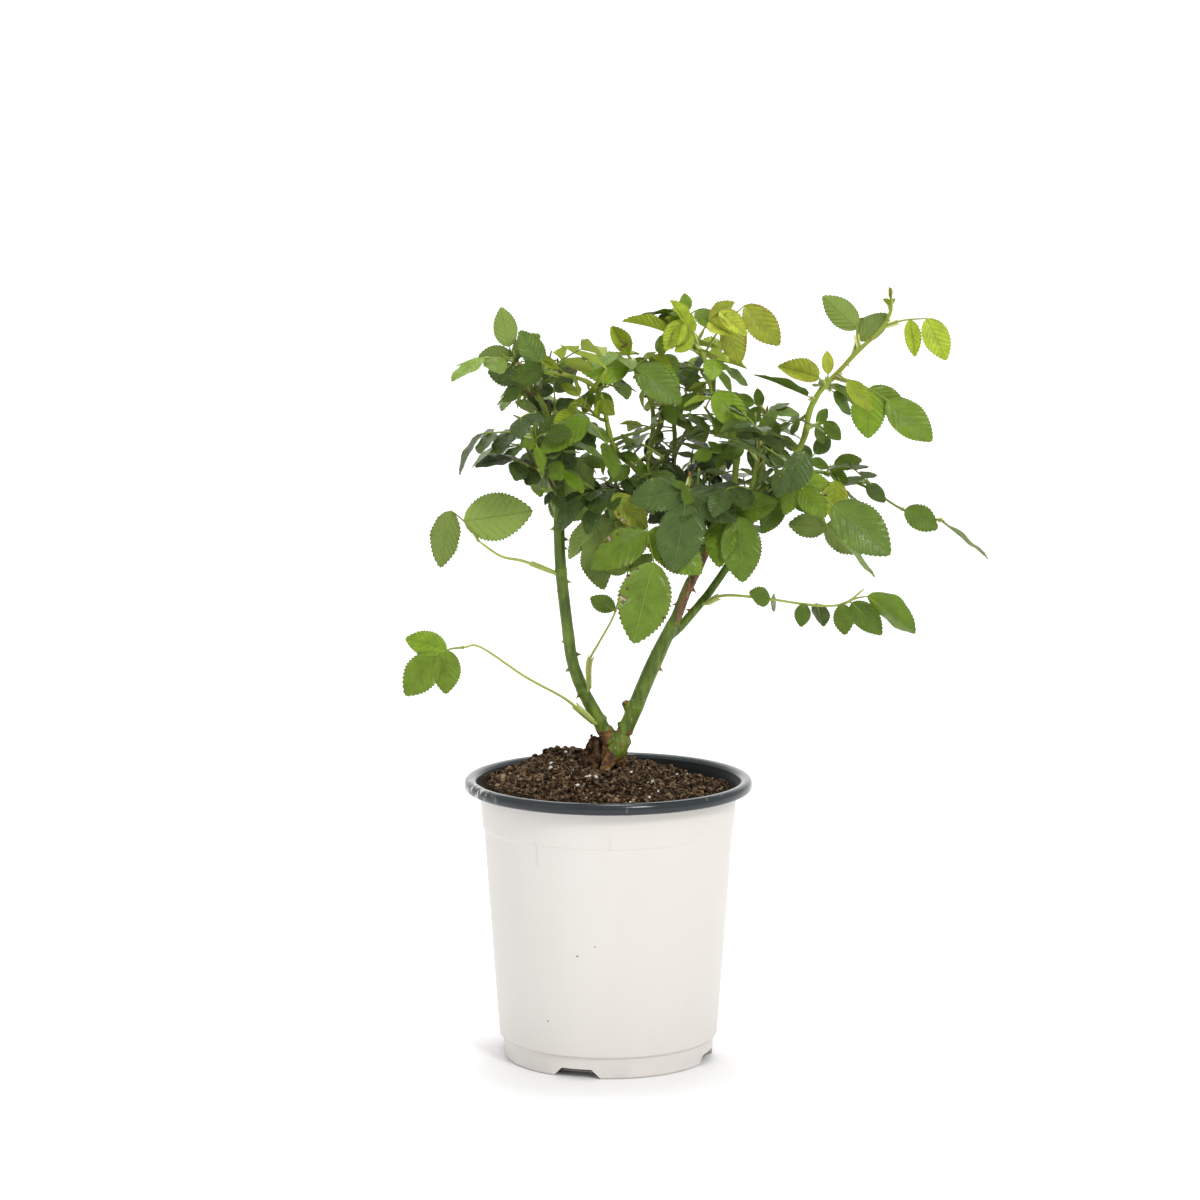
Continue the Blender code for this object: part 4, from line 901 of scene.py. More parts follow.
STALK_FINISHES = {
    "leaf_stalks": StalkFinish("leaf_stalk_green", (0.21, 0.29, 0.04),
                               (0.25, 0.12, 0.04), 0.3),
    "long_leaf_stalks": StalkFinish("long_stalk_green", (0.33, 0.42, 0.09),
                                    (0.33, 0.3, 0.08), 0.3),
    "stems": StalkFinish("shoot_green", (0.155, 0.23, 0.022), (0.24, 0.11, 0.04), 0.35),
    "young_stems": StalkFinish("young_shoot_green", (0.235, 0.32, 0.03),
                               (0.26, 0.17, 0.045), 0.3),
    "wings": StalkFinish("wing_green", (0.52, 0.59, 0.23), (0.5, 0.26, 0.14), 0.4),
    "buds": StalkFinish("bud_green", (0.25, 0.27, 0.045), (0.3, 0.09, 0.035), 0.8),
    "dry_curls": StalkFinish("dry_curl_brown", (0.115, 0.06, 0.026),
                             (0.23, 0.13, 0.05), 0.8),
    "twigs": StalkFinish("twig_green", (0.105, 0.16, 0.018), (0.16, 0.07, 0.025), 0.45),
    "dry_twigs": StalkFinish("dry_twig_brown", (0.09, 0.05, 0.025), (0.2, 0.12, 0.06), 0.7),
}
CANE_BARK = BarkFinish("cane_bark", (0.066, 0.112, 0.007), (0.165, 0.24, 0.022),
                       (0.2, 0.085, 0.03), (0.215, 0.105, 0.03), (0.05, 0.026, 0.011))
STUMP_BARK = BitFinish("stump_bark", ((0.012, 0.006, 0.003), (0.05, 0.027, 0.014),
                                      (0.14, 0.085, 0.045)), 420.0, 0.92, 0.0004)
PRICKLE_GREEN = StalkFinish("green_prickle", (0.3, 0.33, 0.08), (0.28, 0.15, 0.06), 0.6)
PRICKLE_RIPE = StalkFinish("ripe_prickle", (0.17, 0.08, 0.03), (0.3, 0.16, 0.07), 0.7)
POT_WALL = WallFinish("pot_wall_plastic", (0.672, 0.645, 0.612), (0.645, 0.616, 0.575),
                      (0.3, 0.27, 0.23))
POT_LINER = LipFinish("pot_liner_plastic", (0.005, 0.006, 0.006), (0.018, 0.017, 0.015), 0.5,
                      0.2, 0.7, 0.12)
POT_LIP = LipFinish("pot_lip_plastic", (0.011, 0.017, 0.021), (0.036, 0.04, 0.042), 0.15,
                    0.85, 0.1, 0.5)
MIX_TOP = BitFinish("mix_top", ((0.006, 0.003, 0.002), (0.024, 0.014, 0.007),
                                (0.09, 0.058, 0.03)), 520.0, 0.94, 0.0006)
MIX_BODY = BitFinish("mix_body", ((0.012, 0.007, 0.004), (0.026, 0.016, 0.009),
                                  (0.055, 0.034, 0.019)), 300.0, 0.95, 0.0005)
BIT_FINISHES = {
    "dark_crumbs": BitFinish("dark_crumb", ((0.008, 0.004, 0.002), (0.04, 0.024, 0.012),
                                            (0.13, 0.086, 0.05)), 420.0),
    "brown_crumbs": BitFinish("brown_crumb", ((0.035, 0.019, 0.009), (0.12, 0.076, 0.042),
                                              (0.34, 0.24, 0.155)), 460.0),
    "bark_slivers": BitFinish("bark_sliver", ((0.05, 0.026, 0.012), (0.15, 0.082, 0.04),
                                              (0.29, 0.185, 0.1)), 300.0, 0.82),
    "tan_slivers": BitFinish("tan_sliver", ((0.3, 0.19, 0.1), (0.48, 0.35, 0.21),
                                            (0.6, 0.48, 0.33)), 300.0, 0.8),
    "peat_fibres": BitFinish("peat_fibre", ((0.06, 0.036, 0.018), (0.18, 0.115, 0.062),
                                            (0.38, 0.27, 0.16)), 340.0, 0.85),
    "perlite_grains": BitFinish("perlite_grain", ((0.56, 0.54, 0.5), (0.76, 0.75, 0.72),
                                                  (0.86, 0.86, 0.84)), 500.0, 0.8, 0.0003),
}


def aim(heading: float, rise: float) -> Vector:
    """The unit direction of a heading round +Z from +X and a rise above level."""
    turn, lift = math.radians(heading), math.radians(rise)
    flat = math.cos(lift)
    return Vector((flat * math.cos(turn), flat * math.sin(turn), math.sin(lift)))


def clamp(value: float) -> float:
    """A value kept from 0 to 1."""
    return min(max(value, 0.0), 1.0)


def across(direction: Vector, like: Vector) -> Vector:
    """The part of a vector that is square to a direction, as a unit vector."""
    square = like - direction * like.dot(direction)
    if square.length < 1e-6:
        square = direction.orthogonal()
    return square.normalized()


def on_path(points: Path, place: float) -> Vector:
    """The point of the smooth curve through some corners.

    Args:
        points: The corners.
        place: From 0 to 1.

    Returns:
        The point.
    """
    last = len(points) - 1
    reach = clamp(place) * last
    i = min(int(reach), last - 1)
    t = reach - i
    p1, p2 = points[i], points[i + 1]
    p0 = points[i - 1] if i > 0 else p1 * 2 - p2
    p3 = points[i + 2] if i + 2 <= last else p2 * 2 - p1
    return 0.5 * (2 * p1 + (p2 - p0) * t + (2 * p0 - 5 * p1 + 4 * p2 - p3) * t * t
                  + (3 * p1 - p0 - 3 * p2 + p3) * t ** 3)


def way_at(points: Path, place: float) -> Vector:
    """The unit direction of the smooth curve at a place."""
    ahead = on_path(points, min(place + 0.01, 1.0))
    return (ahead - on_path(points, max(place - 0.01, 0.0))).normalized()


def at_place(values: Sequence[float], place: float) -> float:
    """A value read between evenly spaced ones."""
    reach = clamp(place) * (len(values) - 1)
    i = min(int(reach), len(values) - 2)
    return values[i] + (values[i + 1] - values[i]) * (reach - i)


def resampled(points: Path, radii: Sequence[float], spans: int) -> tuple[list[Vector], list[float]]:
    """A path and its radii at evenly spaced places.

    Args:
        points: The path's corners.
        radii: Its radii, evenly spaced.
        spans: How many spans are wanted on each leg.

    Returns:
        The points and the radii.
    """
    count = spans * (len(points) - 1)
    places = [i / count for i in range(count + 1)]
    return [on_path(points, t) for t in places], [at_place(radii, t) for t in places]


def tube_rings(points: Path, radii: Sequence[float], sides: int, carried: bool,
               ) -> tuple[list[Vector], list[tuple[int, ...]]]:
    """The rings of an open tube.

    Args:
        points: Its path.
        radii: Its radius at each point.
        sides: How many sides it has.
        carried: Whether each ring starts where the last one did, so that it doesn't twist.

    Returns:
        The corners and the faces.
    """
    rings, faces = [], []
    side = across((points[1] - points[0]).normalized(), TUBE_SIDE)
    for i, point in enumerate(points):
        before, after = points[max(i - 1, 0)], points[min(i + 1, len(points) - 1)]
        way = (after - before).normalized()
        side = across(way, side if carried else TUBE_SIDE)
        up = way.cross(side)
        for k in range(sides):
            angle = math.tau * k / sides
            rings.append(point + (side * math.cos(angle) + up * math.sin(angle)) * radii[i])
            if i:
                a, b = (i - 1) * sides + k, (i - 1) * sides + (k + 1) % sides
                faces.append((a, b, b + sides, a + sides))
    return rings, faces


def guard_tube(points: Path, radii: Sequence[float], sides: int = 6) -> BVHTree:
    """A closed guard round a tube, a little wider than its radii, as a search tree."""
    rings, faces = tube_rings(points, [radius + GUARD for radius in radii], sides, False)
    return BVHTree.FromPolygons([p[:] for p in rings], faces)


def guard_blade(blade: Blade, whole: bool = True) -> BVHTree:
    """Two sheets round a leaflet, or round a slim core of it, as a search tree.

    Args:
        blade: The leaflet.
        whole: Whether the guard covers all of it.

    Returns:
        The tree.
    """
    half = LEAF_WIDTH * blade.length / 2 * (1.0 if whole else CORE_SHARE)
    first = ((-0.02, 0.10), (0.12, 0.66)) if whole else ((0.30, 0.86), (0.38, 0.96))
    stations = first + ((0.50, 1.0), (0.75, 0.78), (1.02 if whole else 0.94, 0.10))
    verts, faces = [], []
    for t, width in stations:
        wide = half * width + GUARD
        for x in (-wide, 0.0, wide):
            for lift in (GUARD + 0.2, -GUARD - 0.2):
                verts.append(blade.point(t, x, lift)[:])
    for i in range(len(stations) - 1):
        for k in range(2):
            for lift in range(2):
                a = i * 6 + k * 2 + lift
                faces.append((a, a + 2, a + 8, a + 6))
    return BVHTree.FromPolygons(verts, faces)


def blade_frame(base: Vector, way: Vector, normal: Vector, length: float,
                root: float = 0.0) -> Blade:
    """A leaflet from its foot, way, rough upper side, length and gap to the foot."""
    up = across(way, normal)
    return Blade(base + way * root, way, way.cross(up), up, length)


def plan_leaf(leaf: Leaf, stem: Path, turn: float) -> tuple[list[Vector], list[Blade]]:
    """A compound leaf's stalk and leaflets.

    Args:
        leaf: The leaf's sizes.
        stem: The corners of the stem that carries it.
        turn: How far it is turned aside, in degrees.

    Returns:
        The stalk's points, and the end leaflet with its pairs.
    """
    start = on_path(stem, leaf.at)
    chord = aim(leaf.heading + turn, leaf.rise + turn * 0.2)
    tip = aim(leaf.tip_heading + turn, leaf.tip_rise)
    end = start + chord * leaf.reach
    bow = (start + end) / 2 - across(chord, tip - chord) * (0.12 * leaf.reach)
    points = [start]
    for t in (0.5, 1.0):
        points.append(start * (1 - t) ** 2 + bow * (2 * t * (1 - t)) + end * t * t)
    flat = across(tip, Vector((0, 0, 1)))
    roll = math.radians(leaf.roll)
    normal = flat * math.cos(roll) + tip.cross(flat) * math.sin(roll)
    blades = [blade_frame(end, tip, normal, leaf.blade)]
    for place in PAIR_PLACES[leaf.pairs]:
        centre = on_path(points, place)
        way = (way_at(points, place) + tip * 0.6).normalized()
        up = across(way, normal)
        out = way.cross(up)
        angle = math.radians(leaf.spread)
        for sign in (1, -1):
            if leaf.side and sign != leaf.side:
                continue
            lean = way * math.cos(angle) - out * (sign * math.sin(angle))
            lean = (lean - Vector((0, 0, leaf.hang))).normalized()
            size = leaf.blade * leaf.small * (0.88 + 0.12 * place)
            blades.append(blade_frame(centre, lean, up, size, ROOT))
    return points, blades


def extra_leaf(shoot: Shoot, number: int, dice: Dice) -> Leaf:
    """A leaf placed by the seeded rule: a spiral up the stem, drooping at its tip.

    Args:
        shoot: The mass that it joins.
        number: Its number up the stem.
        dice: The seeded draws.

    Returns:
        The leaf.
    """
    place = 0.25 + 0.75 * (number + dice.random()) / max(shoot.extra, 1)
    heading = GOLDEN_ANGLE * number + 360.0 * dice.random()
    blade = shoot.extra_blade * dice.uniform(0.85, 1.15)
    rise = dice.uniform(0, 45)
    return Leaf(min(place, 1.0), heading, rise, blade * dice.uniform(0.9, 1.3), 2, blade,
                heading + dice.uniform(-20, 20), rise - dice.uniform(25, 60),
                dice.uniform(-30, 30))


def seen_open(points: Iterable[Vector]) -> bool:
    """Whether points lie within the crown seen from the front, and out of its sky gaps.

    Args:
        points: Places in millimetres.

    Returns:
        True where an added leaf or twig may be.
    """
    for point in points:
        x, z = point.x - (point.x + 3.5) * point.y / 1600.0, point.z + point.y * 0.144
        rows = zip(CROWN_EDGES, CROWN_EDGES[1:])
        at = [((z - low[0]) / (high[0] - low[0]), low, high) for low, high in rows
              if low[0] <= z < high[0]]
        if not at:
            return False
        t, low, high = at[0]
        if not low[1] + (high[1] - low[1]) * t < x < low[2] + (high[2] - low[2]) * t:
            return False
        if any(((x - u) / a) ** 2 + ((z - w) / b) ** 2 < 1.0 for u, w, a, b in SKY_GAPS):
            return False
    return True


def finer_leaf(shoot: Shoot, dice: Dice, at: float | None = None) -> Leaf:
    """A smaller leaf for the gaps close round a stem.

    Args:
        shoot: The mass that it joins.
        dice: The seeded draws.
        at: Its place on the stem, or None for any.

    Returns:
        The leaf.
    """
    heading = dice.uniform(0, 360)
    blade = shoot.extra_blade * dice.uniform(0.50, 0.80)
    rise = dice.uniform(-20, 50)
    place = dice.uniform(0.10, 0.95)
    return Leaf(place if at is None else at, heading, rise, blade * dice.uniform(0.5, 1.1), 1,
                blade, heading + dice.uniform(-40, 40), rise - dice.uniform(10, 70),
                dice.uniform(-70, 70), side=dice.choice((-1, 0, 1)))


class Growth:
    """Lays out limbs and stems, then places the leaves that stay clear of the rest."""

    def __init__(self) -> None:
        """Start with nothing placed."""
        self.paths: dict[str, list[Vector]] = {}
        self.radii: dict[str, tuple] = {}
        self.parents: dict[str, tuple[str, float]] = {}
        self.taken: list[tuple[str, BVHTree]] = []
        self.cores: list[tuple[str, BVHTree]] = []
        self.sprays: list[Spray] = []
        self.twigs: list[Twig] = []

    def start_of(self, item: Branch, way: Vector) -> Vector:
        """Where a branch's flat foot sits, clear of its parent.

        Args:
            item: The branch.
            way: Its first direction.

        Returns:
            The point.
        """
        points, radius = self.paths[item.parent], item.radii[0]
        axis = way_at(points, item.at)
        centre = on_path(points, item.at)
        if item.at >= 1.0:
            tilt = math.sqrt(max(1.0 - way.dot(axis) ** 2, 0.0))
            return centre + axis * (GAP + radius * tilt)
        off = at_place(self.radii[item.parent], item.at) + GAP + radius * abs(way.dot(axis))
        return centre + across(axis, way) * off

    def lay(self, item: Branch) -> None:
        """Lay out a branch's path from its parent."""
        points = [self.start_of(item, aim(*item.legs[0][1:]))]
        for length, heading, rise in item.legs:
            points.append(points[-1] + aim(heading, rise) * length)
        self.paths[item.name] = points
        self.radii[item.name] = item.radii
        self.parents[item.name] = (item.parent, item.at)
        self.taken.append((item.name, guard_tube(*resampled(points, item.radii, 3))))

    def clear_of_others(self, name: str, tree: BVHTree) -> bool:
        """Whether a guard is clear of every limb and of every other mass."""
        return not any(owner != name and tree.overlap(other) for owner, other in self.taken)

    def clear_of_own(self, name: str, tree: BVHTree) -> bool:
        """Whether a leaflet is clear of the cores of its own mass."""
        return not any(owner == name and tree.overlap(other) for owner, other in self.cores)

    def grow(self, shoot: Shoot, leaf: Leaf, dice: Dice, must: bool,
             path: Path | None = None, inside: bool = False) -> Spray | None:
        """Place a compound leaf where its stalk and its end leaflet are free.

        Args:
            shoot: The mass that it joins.
            leaf: Its sizes.
            dice: The seeded draws.
            must: Whether it may lie close to its own mass when all tries fail.
            path: The twig that it grows from, or None for the mass's stem.
            inside: Whether it has to keep within the crown's outline and off its gaps.

        Returns:
            The placed leaf, or None.
        """
        spare = None
        for attempt in range(TRIES):
            turn = 0.0 if attempt == 0 else dice.uniform(-8, 8) * attempt ** 0.5
            points, blades = plan_leaf(leaf, path or self.paths[shoot.name], turn)
            if inside and not seen_open(blade.point(t, 0.0, 0.0) for blade in blades
                                        for t in (0.0, 0.5, 1.0)):
                continue
            stalk = guard_tube(points, (0.5, 0.45, 0.4), 4)
            first = guard_blade(blades[0])
            if not (self.clear_of_others(shoot.name, stalk)
                    and self.clear_of_others(shoot.name, first)):
                continue
            if self.clear_of_own(shoot.name, first):
                break
            if must and spare is None:
                spare = points, blades, stalk, first
        else:
            if spare is None:
                return None
            points, blades, stalk, first = spare
        kept = [blades[0]]
        for blade in blades[1:]:
            tree = guard_blade(blade)
            if self.clear_of_others(shoot.name, tree) and self.clear_of_own(shoot.name, tree):
                kept.append(blade)
        self.taken.append((shoot.name, stalk))
        for blade in kept:
            self.taken.append((shoot.name, guard_blade(blade)))
            self.cores.append((shoot.name, guard_blade(blade, False)))
        spray = Spray(points, kept, Tint.MID, 1, shoot.name)
        self.sprays.append(spray)
        return spray

    def dress(self, spray: Spray, letter: str) -> None:
        """Give a set leaf its tint and the face that it turns to the front."""
        spray.tint = Tint(letter.lower())
        seen = 1 if spray.blades[0].up.dot(FRONT) > 0 else -1
        spray.turned = -seen if letter.isupper() else seen

    def settle(self, spray: Spray, fill: str, dice: Dice) -> None:
        """Deal an added leaf its tint, lighter to the top, and turn its upper face outward.

        Args:
            spray: The leaf.
            fill: The common tint of its mass.
            dice: The seeded draws.
        """
        middle = sum((blade.base for blade in spray.blades), Vector()) / len(spray.blades)
        # The tint grows lighter with height: partly young growth, partly painted light from above
        # and painted shade lower down
        shift = round(dice.gauss(0.0, 0.9) + (middle.z - TINT_LEVEL) / TINT_STEP)
        last = len(TINT_ORDER) - 1
        spray.tint = Tint(TINT_ORDER[min(max(TINT_ORDER.index(fill) + shift, 0), last)])
        out = Vector((middle.x - CROWN_AXIS[0], middle.y - CROWN_AXIS[1], 0.0)).normalized()
        score = spray.blades[0].up.dot(Vector((0, 0, 1)) + out * 0.5)
        spray.turned = 1 if score > 0 else -1

    def add_leaf(self, shoot: Shoot, leaf: Leaf, dice: Dice,
                 twig: Path | None = None, fine: bool = False) -> bool:
        """Place a leaf that the rule adds, and deal it its tint.

        Args:
            shoot: The mass that it joins.
            leaf: Its sizes.
            dice: The seeded draws.
            twig: The twig that it grows from, or None for the mass's stem.
            fine: Whether it is one of the finer leaves, which keep inside the crown.

        Returns:
            Whether there was room for it.
        """
        spray = self.grow(shoot, leaf, dice, False, twig, fine)
        if spray is None:
            return False
        spray.fine = fine
        self.settle(spray, shoot.fill, dice)
        return True

    def set_leaves(self, shoot: Shoot, leaves: Sequence[Leaf], looks: str,
                   dice: Dice, fine: bool = False) -> None:
        """Place leaves that are set one by one.

        Args:
            shoot: The mass that they join.
            leaves: Their sizes.
            looks: The letter of each one's tint and face.
            dice: The seeded draws.
            fine: Whether their stalks are slim and unwinged.
        """
        for leaf, letter in zip(leaves, looks):
            spray = self.grow(shoot, leaf, dice, True)
            if spray:
                spray.fine = fine
                self.dress(spray, letter)

    def sprout(self, shoot: Shoot, dice: Dice) -> None:
        """Grow side twigs from a stem, some dry, the rest with small leaves.

        Args:
            shoot: The mass.
            dice: The seeded draws.
        """
        stem, found = self.paths[shoot.name], 0
        for _ in range(TWIGS_EACH * 5):
            if found >= TWIGS_EACH:
                return
            at, heading, rise = dice.uniform(0.08, 0.85), dice.uniform(0, 360), dice.uniform(0, 75)
            dry = dice.random() < DRY_SHARE
            leg = dice.uniform(2.5, 4.5) if dry else shoot.extra_blade * dice.uniform(0.28, 0.50)
            points = [on_path(stem, at) - aim(heading, rise) * 0.3]
            for _ in range(3):
                points.append(points[-1] + aim(heading, rise) * leg)
                heading += dice.uniform(-28, 28)
                rise += dice.uniform(-12, 30)
            thick = min(at_place(shoot.radii, at) * 0.8, 0.95)
            radii = (thick, thick * 0.85, thick * 0.75, thick * 0.6)
            tree = guard_tube(points, radii, 4)
            if not (seen_open(points) and self.clear_of_others(shoot.name, tree)
                    and self.clear_of_own(shoot.name, tree)):
                continue
            found += 1
            self.twigs.append(Twig(points, radii, dry))
            self.cores.append((shoot.name, tree))
            for place in () if dry else TWIG_LEAF_PLACES:
                self.add_leaf(shoot, finer_leaf(shoot, dice, place), dice, points, True)

    def everything(self) -> None:
        """Lay the limbs and stems, then place the set, added, finer and top leaves."""
        for limb, seat in ((LIMBS[0], SEAT_LEFT), (LIMBS[1], SEAT_RIGHT)):
            way = aim(*limb.legs[0][1:])
            self.paths[limb.parent] = [seat - way * SEAT_DEPTH, seat]
            self.radii[limb.parent] = (limb.radii[0], limb.radii[0])
        for item in LIMBS + SHOOTS:
            self.lay(item)
        for shoot in SHOOTS:
            self.set_leaves(shoot, shoot.leaves, shoot.looks, Dice(shoot.seed))
        for shoot in SHOOTS:
            dice = Dice(shoot.seed + ADDED_SEED)
            for number in range(shoot.extra):
                self.add_leaf(shoot, extra_leaf(shoot, number, dice), dice)
        for shoot in SHOOTS:
            if shoot.name not in LONE_LEAVES:
                self.sprout(shoot, Dice(shoot.seed + TWIG_SEED))
        for shoot in SHOOTS:
            dice = Dice(shoot.seed + FINER_SEED)
            placed = 0
            for _ in range(shoot.finer * 4):
                if placed < shoot.finer:
                    placed += self.add_leaf(shoot, finer_leaf(shoot, dice), dice, None, True)
        named = {shoot.name: shoot for shoot in SHOOTS}
        dice = Dice(TOP_SEED)
        for name, (looks, leaves) in TOP_LEAVES.items():
            self.set_leaves(named[name], leaves, looks, dice, True)

    def rooted(self, name: str, per_leg: int, back: float = 1.0) -> tuple[list[Vector], list[float]]:
        """A branch's fine path, run back into its parent so that the two merge.

        Args:
            name: The branch.
            per_leg: How many points each leg gets.
            back: How far down the parent the joint starts, in parent radii.

        Returns:
            The points and the radii.
        """
        fine, width = resampled(self.paths[name], self.radii[name], per_leg)
        if name in self.parents:
            parent, at = self.parents[name]
            stem = self.paths[parent]
            wide = at_place(self.radii[parent], at)
            foot = on_path(stem, at) - way_at(stem, at) * (wide * back)
            fine = [foot, (foot + fine[0]) / 2] + fine
            width = [width[0] * 1.05, width[0] * 1.10] + width
        return fine, width


# Joined meshes from arrays


class Sheaf:
    """Many small shapes of one kind, gathered into one mesh."""

    def __init__(self) -> None:
        """Start empty."""
        self.points: list[np.ndarray] = []
        self.faces: list[tuple[int, ...]] = []
        self.charts: list[np.ndarray] = []
        self.count = 0

    def add(self, points: np.ndarray, faces: Iterable[Sequence[int]],
            chart: np.ndarray | None = None) -> None:
        """Add one shape.

        Args:
            points: Its corners in millimetres.
            faces: Its faces, as numbers of its corners.
            chart: Its map, a pair for each face corner in turn, or None.
        """
        self.faces += [tuple(k + self.count for k in face) for face in faces]
        self.points.append(np.asarray(points, dtype=float))
        self.count += len(points)
        if chart is not None:
            self.charts.append(chart)

    def tube(self, points: Path, radii: Sequence[float], sides: int = 6) -> None:
        """Add a closed round tube, its ends drawn to points.

        Args:
            points: Its path.
            radii: Its radius at each point.
            sides: How many sides it has.
        """
        rings, faces = tube_rings(points, radii, sides, True)
        last = len(points) - 1
        tips = [points[0] - (points[1] - points[0]).normalized() * radii[0] * 0.5,
                points[-1] + (points[-1] - points[-2]).normalized() * radii[-1] * 0.5]
        foot, head = len(rings), len(rings) + 1
        for k in range(sides):
            follow = (k + 1) % sides
            faces.append((foot, follow, k))
            faces.append((head, last * sides + k, last * sides + follow))
        self.add(np.array([p[:] for p in rings + tips]), faces)

    def piece(self, name: str, smooth: float = 180.0) -> Piece:
        """Make the mesh and its object.

        Args:
            name: The piece's name.
            smooth: The angle in degrees past which an edge stays sharp.

        Returns:
            The piece.
        """
        mesh = bpy.data.meshes.new(name)
        points = np.concatenate(self.points) * MM
        mesh.from_pydata(points, [], self.faces)
        if self.charts:
            layer = mesh.uv_layers.new(name=LEAF_MAP)
            layer.data.foreach_set("uv", np.concatenate(self.charts).ravel())
        mesh.shade_smooth()
        if smooth < 180.0:
            mesh.set_sharp_from_angle(angle=math.radians(smooth))
        made = bpy.data.objects.new(name, mesh)
        bpy.context.scene.collection.objects.link(made)
        return made


class Finish(Protocol):
    """Any of the finishes."""

    def make(self) -> Material:
        """Make the material."""


def paint(piece: Piece, finish: Finish) -> None:
    """Give a piece one finish, in place of any that it has."""
    piece.data.materials.clear()
    piece.data.materials.append(finish.make())


def ride(piece: Piece, finish: Finish, slot: str, nodes: Iterable[str] = ()) -> None:
    """Dress a piece and fix it to the plant.

    Args:
        piece: The piece.
        finish: Its finish.
        slot: The record's material slot that the finish stands for; not used.
        nodes: The CAD nodes that the piece replaces.
    """
    paint(piece, finish)
    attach(piece, BODY)
    if nodes:
        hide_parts(*nodes)
    LOG.info("%s: %d faces", piece.name, len(piece.data.polygons))


class LeafPattern:
    """A serrated leaflet of unit length: its corners, faces and map."""

    def __init__(self, teeth: int) -> None:
        """Cut the pattern.

        Args:
            teeth: How many teeth each margin has.
        """
        self.places: list[tuple[float, float, float]] = []
        self.faces: list[tuple[int, ...]] = []
        self.lower: list[bool] = []
        self.rows(teeth)
        self.array = np.array(self.places)

    def corner(self, along: float, wide: float, lift: float) -> int:
        """Add a corner: its place along, its share of the half width, its side of the sheet."""
        self.places.append((along, wide, lift))
        return len(self.places) - 1

    def face(self, corners: Sequence[int], mirror: bool, lower: bool) -> None:
        """Add a face, wound the other way on a mirrored half or on the lower sheet."""
        self.faces.append(tuple(reversed(corners)) if mirror != lower else tuple(corners))
        self.lower.append(lower)

    def rows(self, teeth: int) -> None:
        """Lay out both halves of both sheets, tooth by tooth.

        Args:
            teeth: How many teeth each margin has.
        """
        depth = TOOTH_DEPTH / teeth
        mids = [self.corner(i / teeth * LAST_ROW, 0.0, 1.0) for i in range(teeth + 1)]
        keels = [self.corner(i / teeth * LAST_ROW, 0.0, -1.6) for i in range(teeth + 1)]
        tip = self.corner(1.0, 0.0, 0.0)
        for sign in (1.0, -1.0):
            mirror = sign < 0
            inner, outer, valley, peak, under = [], [], [], [], []
            for i in range(teeth + 1):
                t = i / teeth * LAST_ROW
                wide = max(outline_at(t), 0.035)
                inner.append(self.corner(t, sign * wide * INNER_ROW, 1.0))
                outer.append(self.corner(t, sign * wide * OUTER_ROW, 1.0))
                valley.append(self.corner(t, sign * (wide - depth * min(0.45, i * 0.4)), 0.0))
                under.append(self.corner(t, sign * wide * UNDER_ROW, -1.0))
                if i < teeth:
                    ahead = (i + TOOTH_LEAN) / teeth * LAST_ROW
                    reach = max(outline_at(ahead), 0.03) + depth * (0.60 if i > 1 else 0.1)
                    peak.append(self.corner(ahead, sign * reach, 0.0))
            for i in range(teeth):
                j = i + 1
                self.face((mids[i], inner[i], inner[j], mids[j]), mirror, False)
                self.face((inner[i], outer[i], outer[j], inner[j]), mirror, False)
                self.face((outer[i], valley[i], peak[i], valley[j], outer[j]), mirror, False)
                self.face((keels[i], under[i], under[j], keels[j]), mirror, True)
                self.face((under[i], valley[i], peak[i], valley[j], under[j]), mirror, True)
            self.face((mids[-1], inner[-1], outer[-1], valley[-1], tip), mirror, False)
            self.face((keels[-1], under[-1], valley[-1], tip), mirror, True)
            self.face((mids[0], keels[0], under[0], valley[0], outer[0], inner[0]), mirror, False)

    def chart(self, turned: int) -> np.ndarray:
        """The map of every face corner.

        Args:
            turned: 1 where the upper face is on the blade's up side, else -1.

        Returns:
            Pairs from 0 to 1, the upper face on the left and the lower on the right.
        """
        pairs = []
        for face, lower in zip(self.faces, self.lower):
            middle = 0.75 if lower == (turned > 0) else 0.25
            for k in face:
                along, wide, _ = self.places[k]
                pairs.append((middle + HALF_ISLAND * max(-1.0, min(1.0, wide)),
                              ISLAND_FOOT + (1.0 - 2.0 * ISLAND_FOOT) * along))
        return np.array(pairs)

    def shaped(self, blade: Blade, dice: Dice, fold: float = 1.0) -> np.ndarray:
        """The pattern's corners on one leaflet, with its own wave, twist and curl.

        Args:
            blade: The leaflet.
            dice: The seeded draws.
            fold: How sharply it folds at its midrib, against a common leaflet.

        Returns:
            The corners in millimetres.
        """
        along, share, sheet = self.array.T
        length = blade.length
        half = LEAF_WIDTH * length / 2 * dice.uniform(0.90, 1.12)
        wide = share * half
        phase, waves = dice.uniform(0, FULL_TURN), dice.uniform(1.6, 2.8)
        lift = FOLD * np.abs(wide) * dice.uniform(0.4, 1.4) * fold
        wide = wide * (1.0 - 0.09 * (fold - 1.0))
        lift -= FOLD * 0.30 * wide * wide / half
        lift -= (SAG + dice.uniform(-0.05, 0.05)) * length * along * along
        lift += WAVE * length * np.sin(along * waves * FULL_TURN + phase) * share * share
        lift += RIPPLE * length * np.sin(along * RIPPLES) * np.abs(share) * (1.0 - np.abs(share)) * 2
        lift += dice.uniform(-0.20, 0.20) * wide * along
        lift += sheet * BLADE_HALF
        drift = dice.uniform(-0.05, 0.05) * length * along * along
        base, way = np.array(blade.base), np.array(blade.way)
        side, up = np.array(blade.side), np.array(blade.up)
        return (base + np.outer(along * length, way) + np.outer(wide + drift, side)
                + np.outer(lift, up))


def outline_at(along: float) -> float:
    """A leaflet's half width at a place along it, as a share of its widest."""
    bow = math.sin(math.pi * max(along, 0.0) ** OUTLINE_LEAN)
    return max(bow, 0.0) ** (OUTLINE_FULL + OUTLINE_TIP * along)


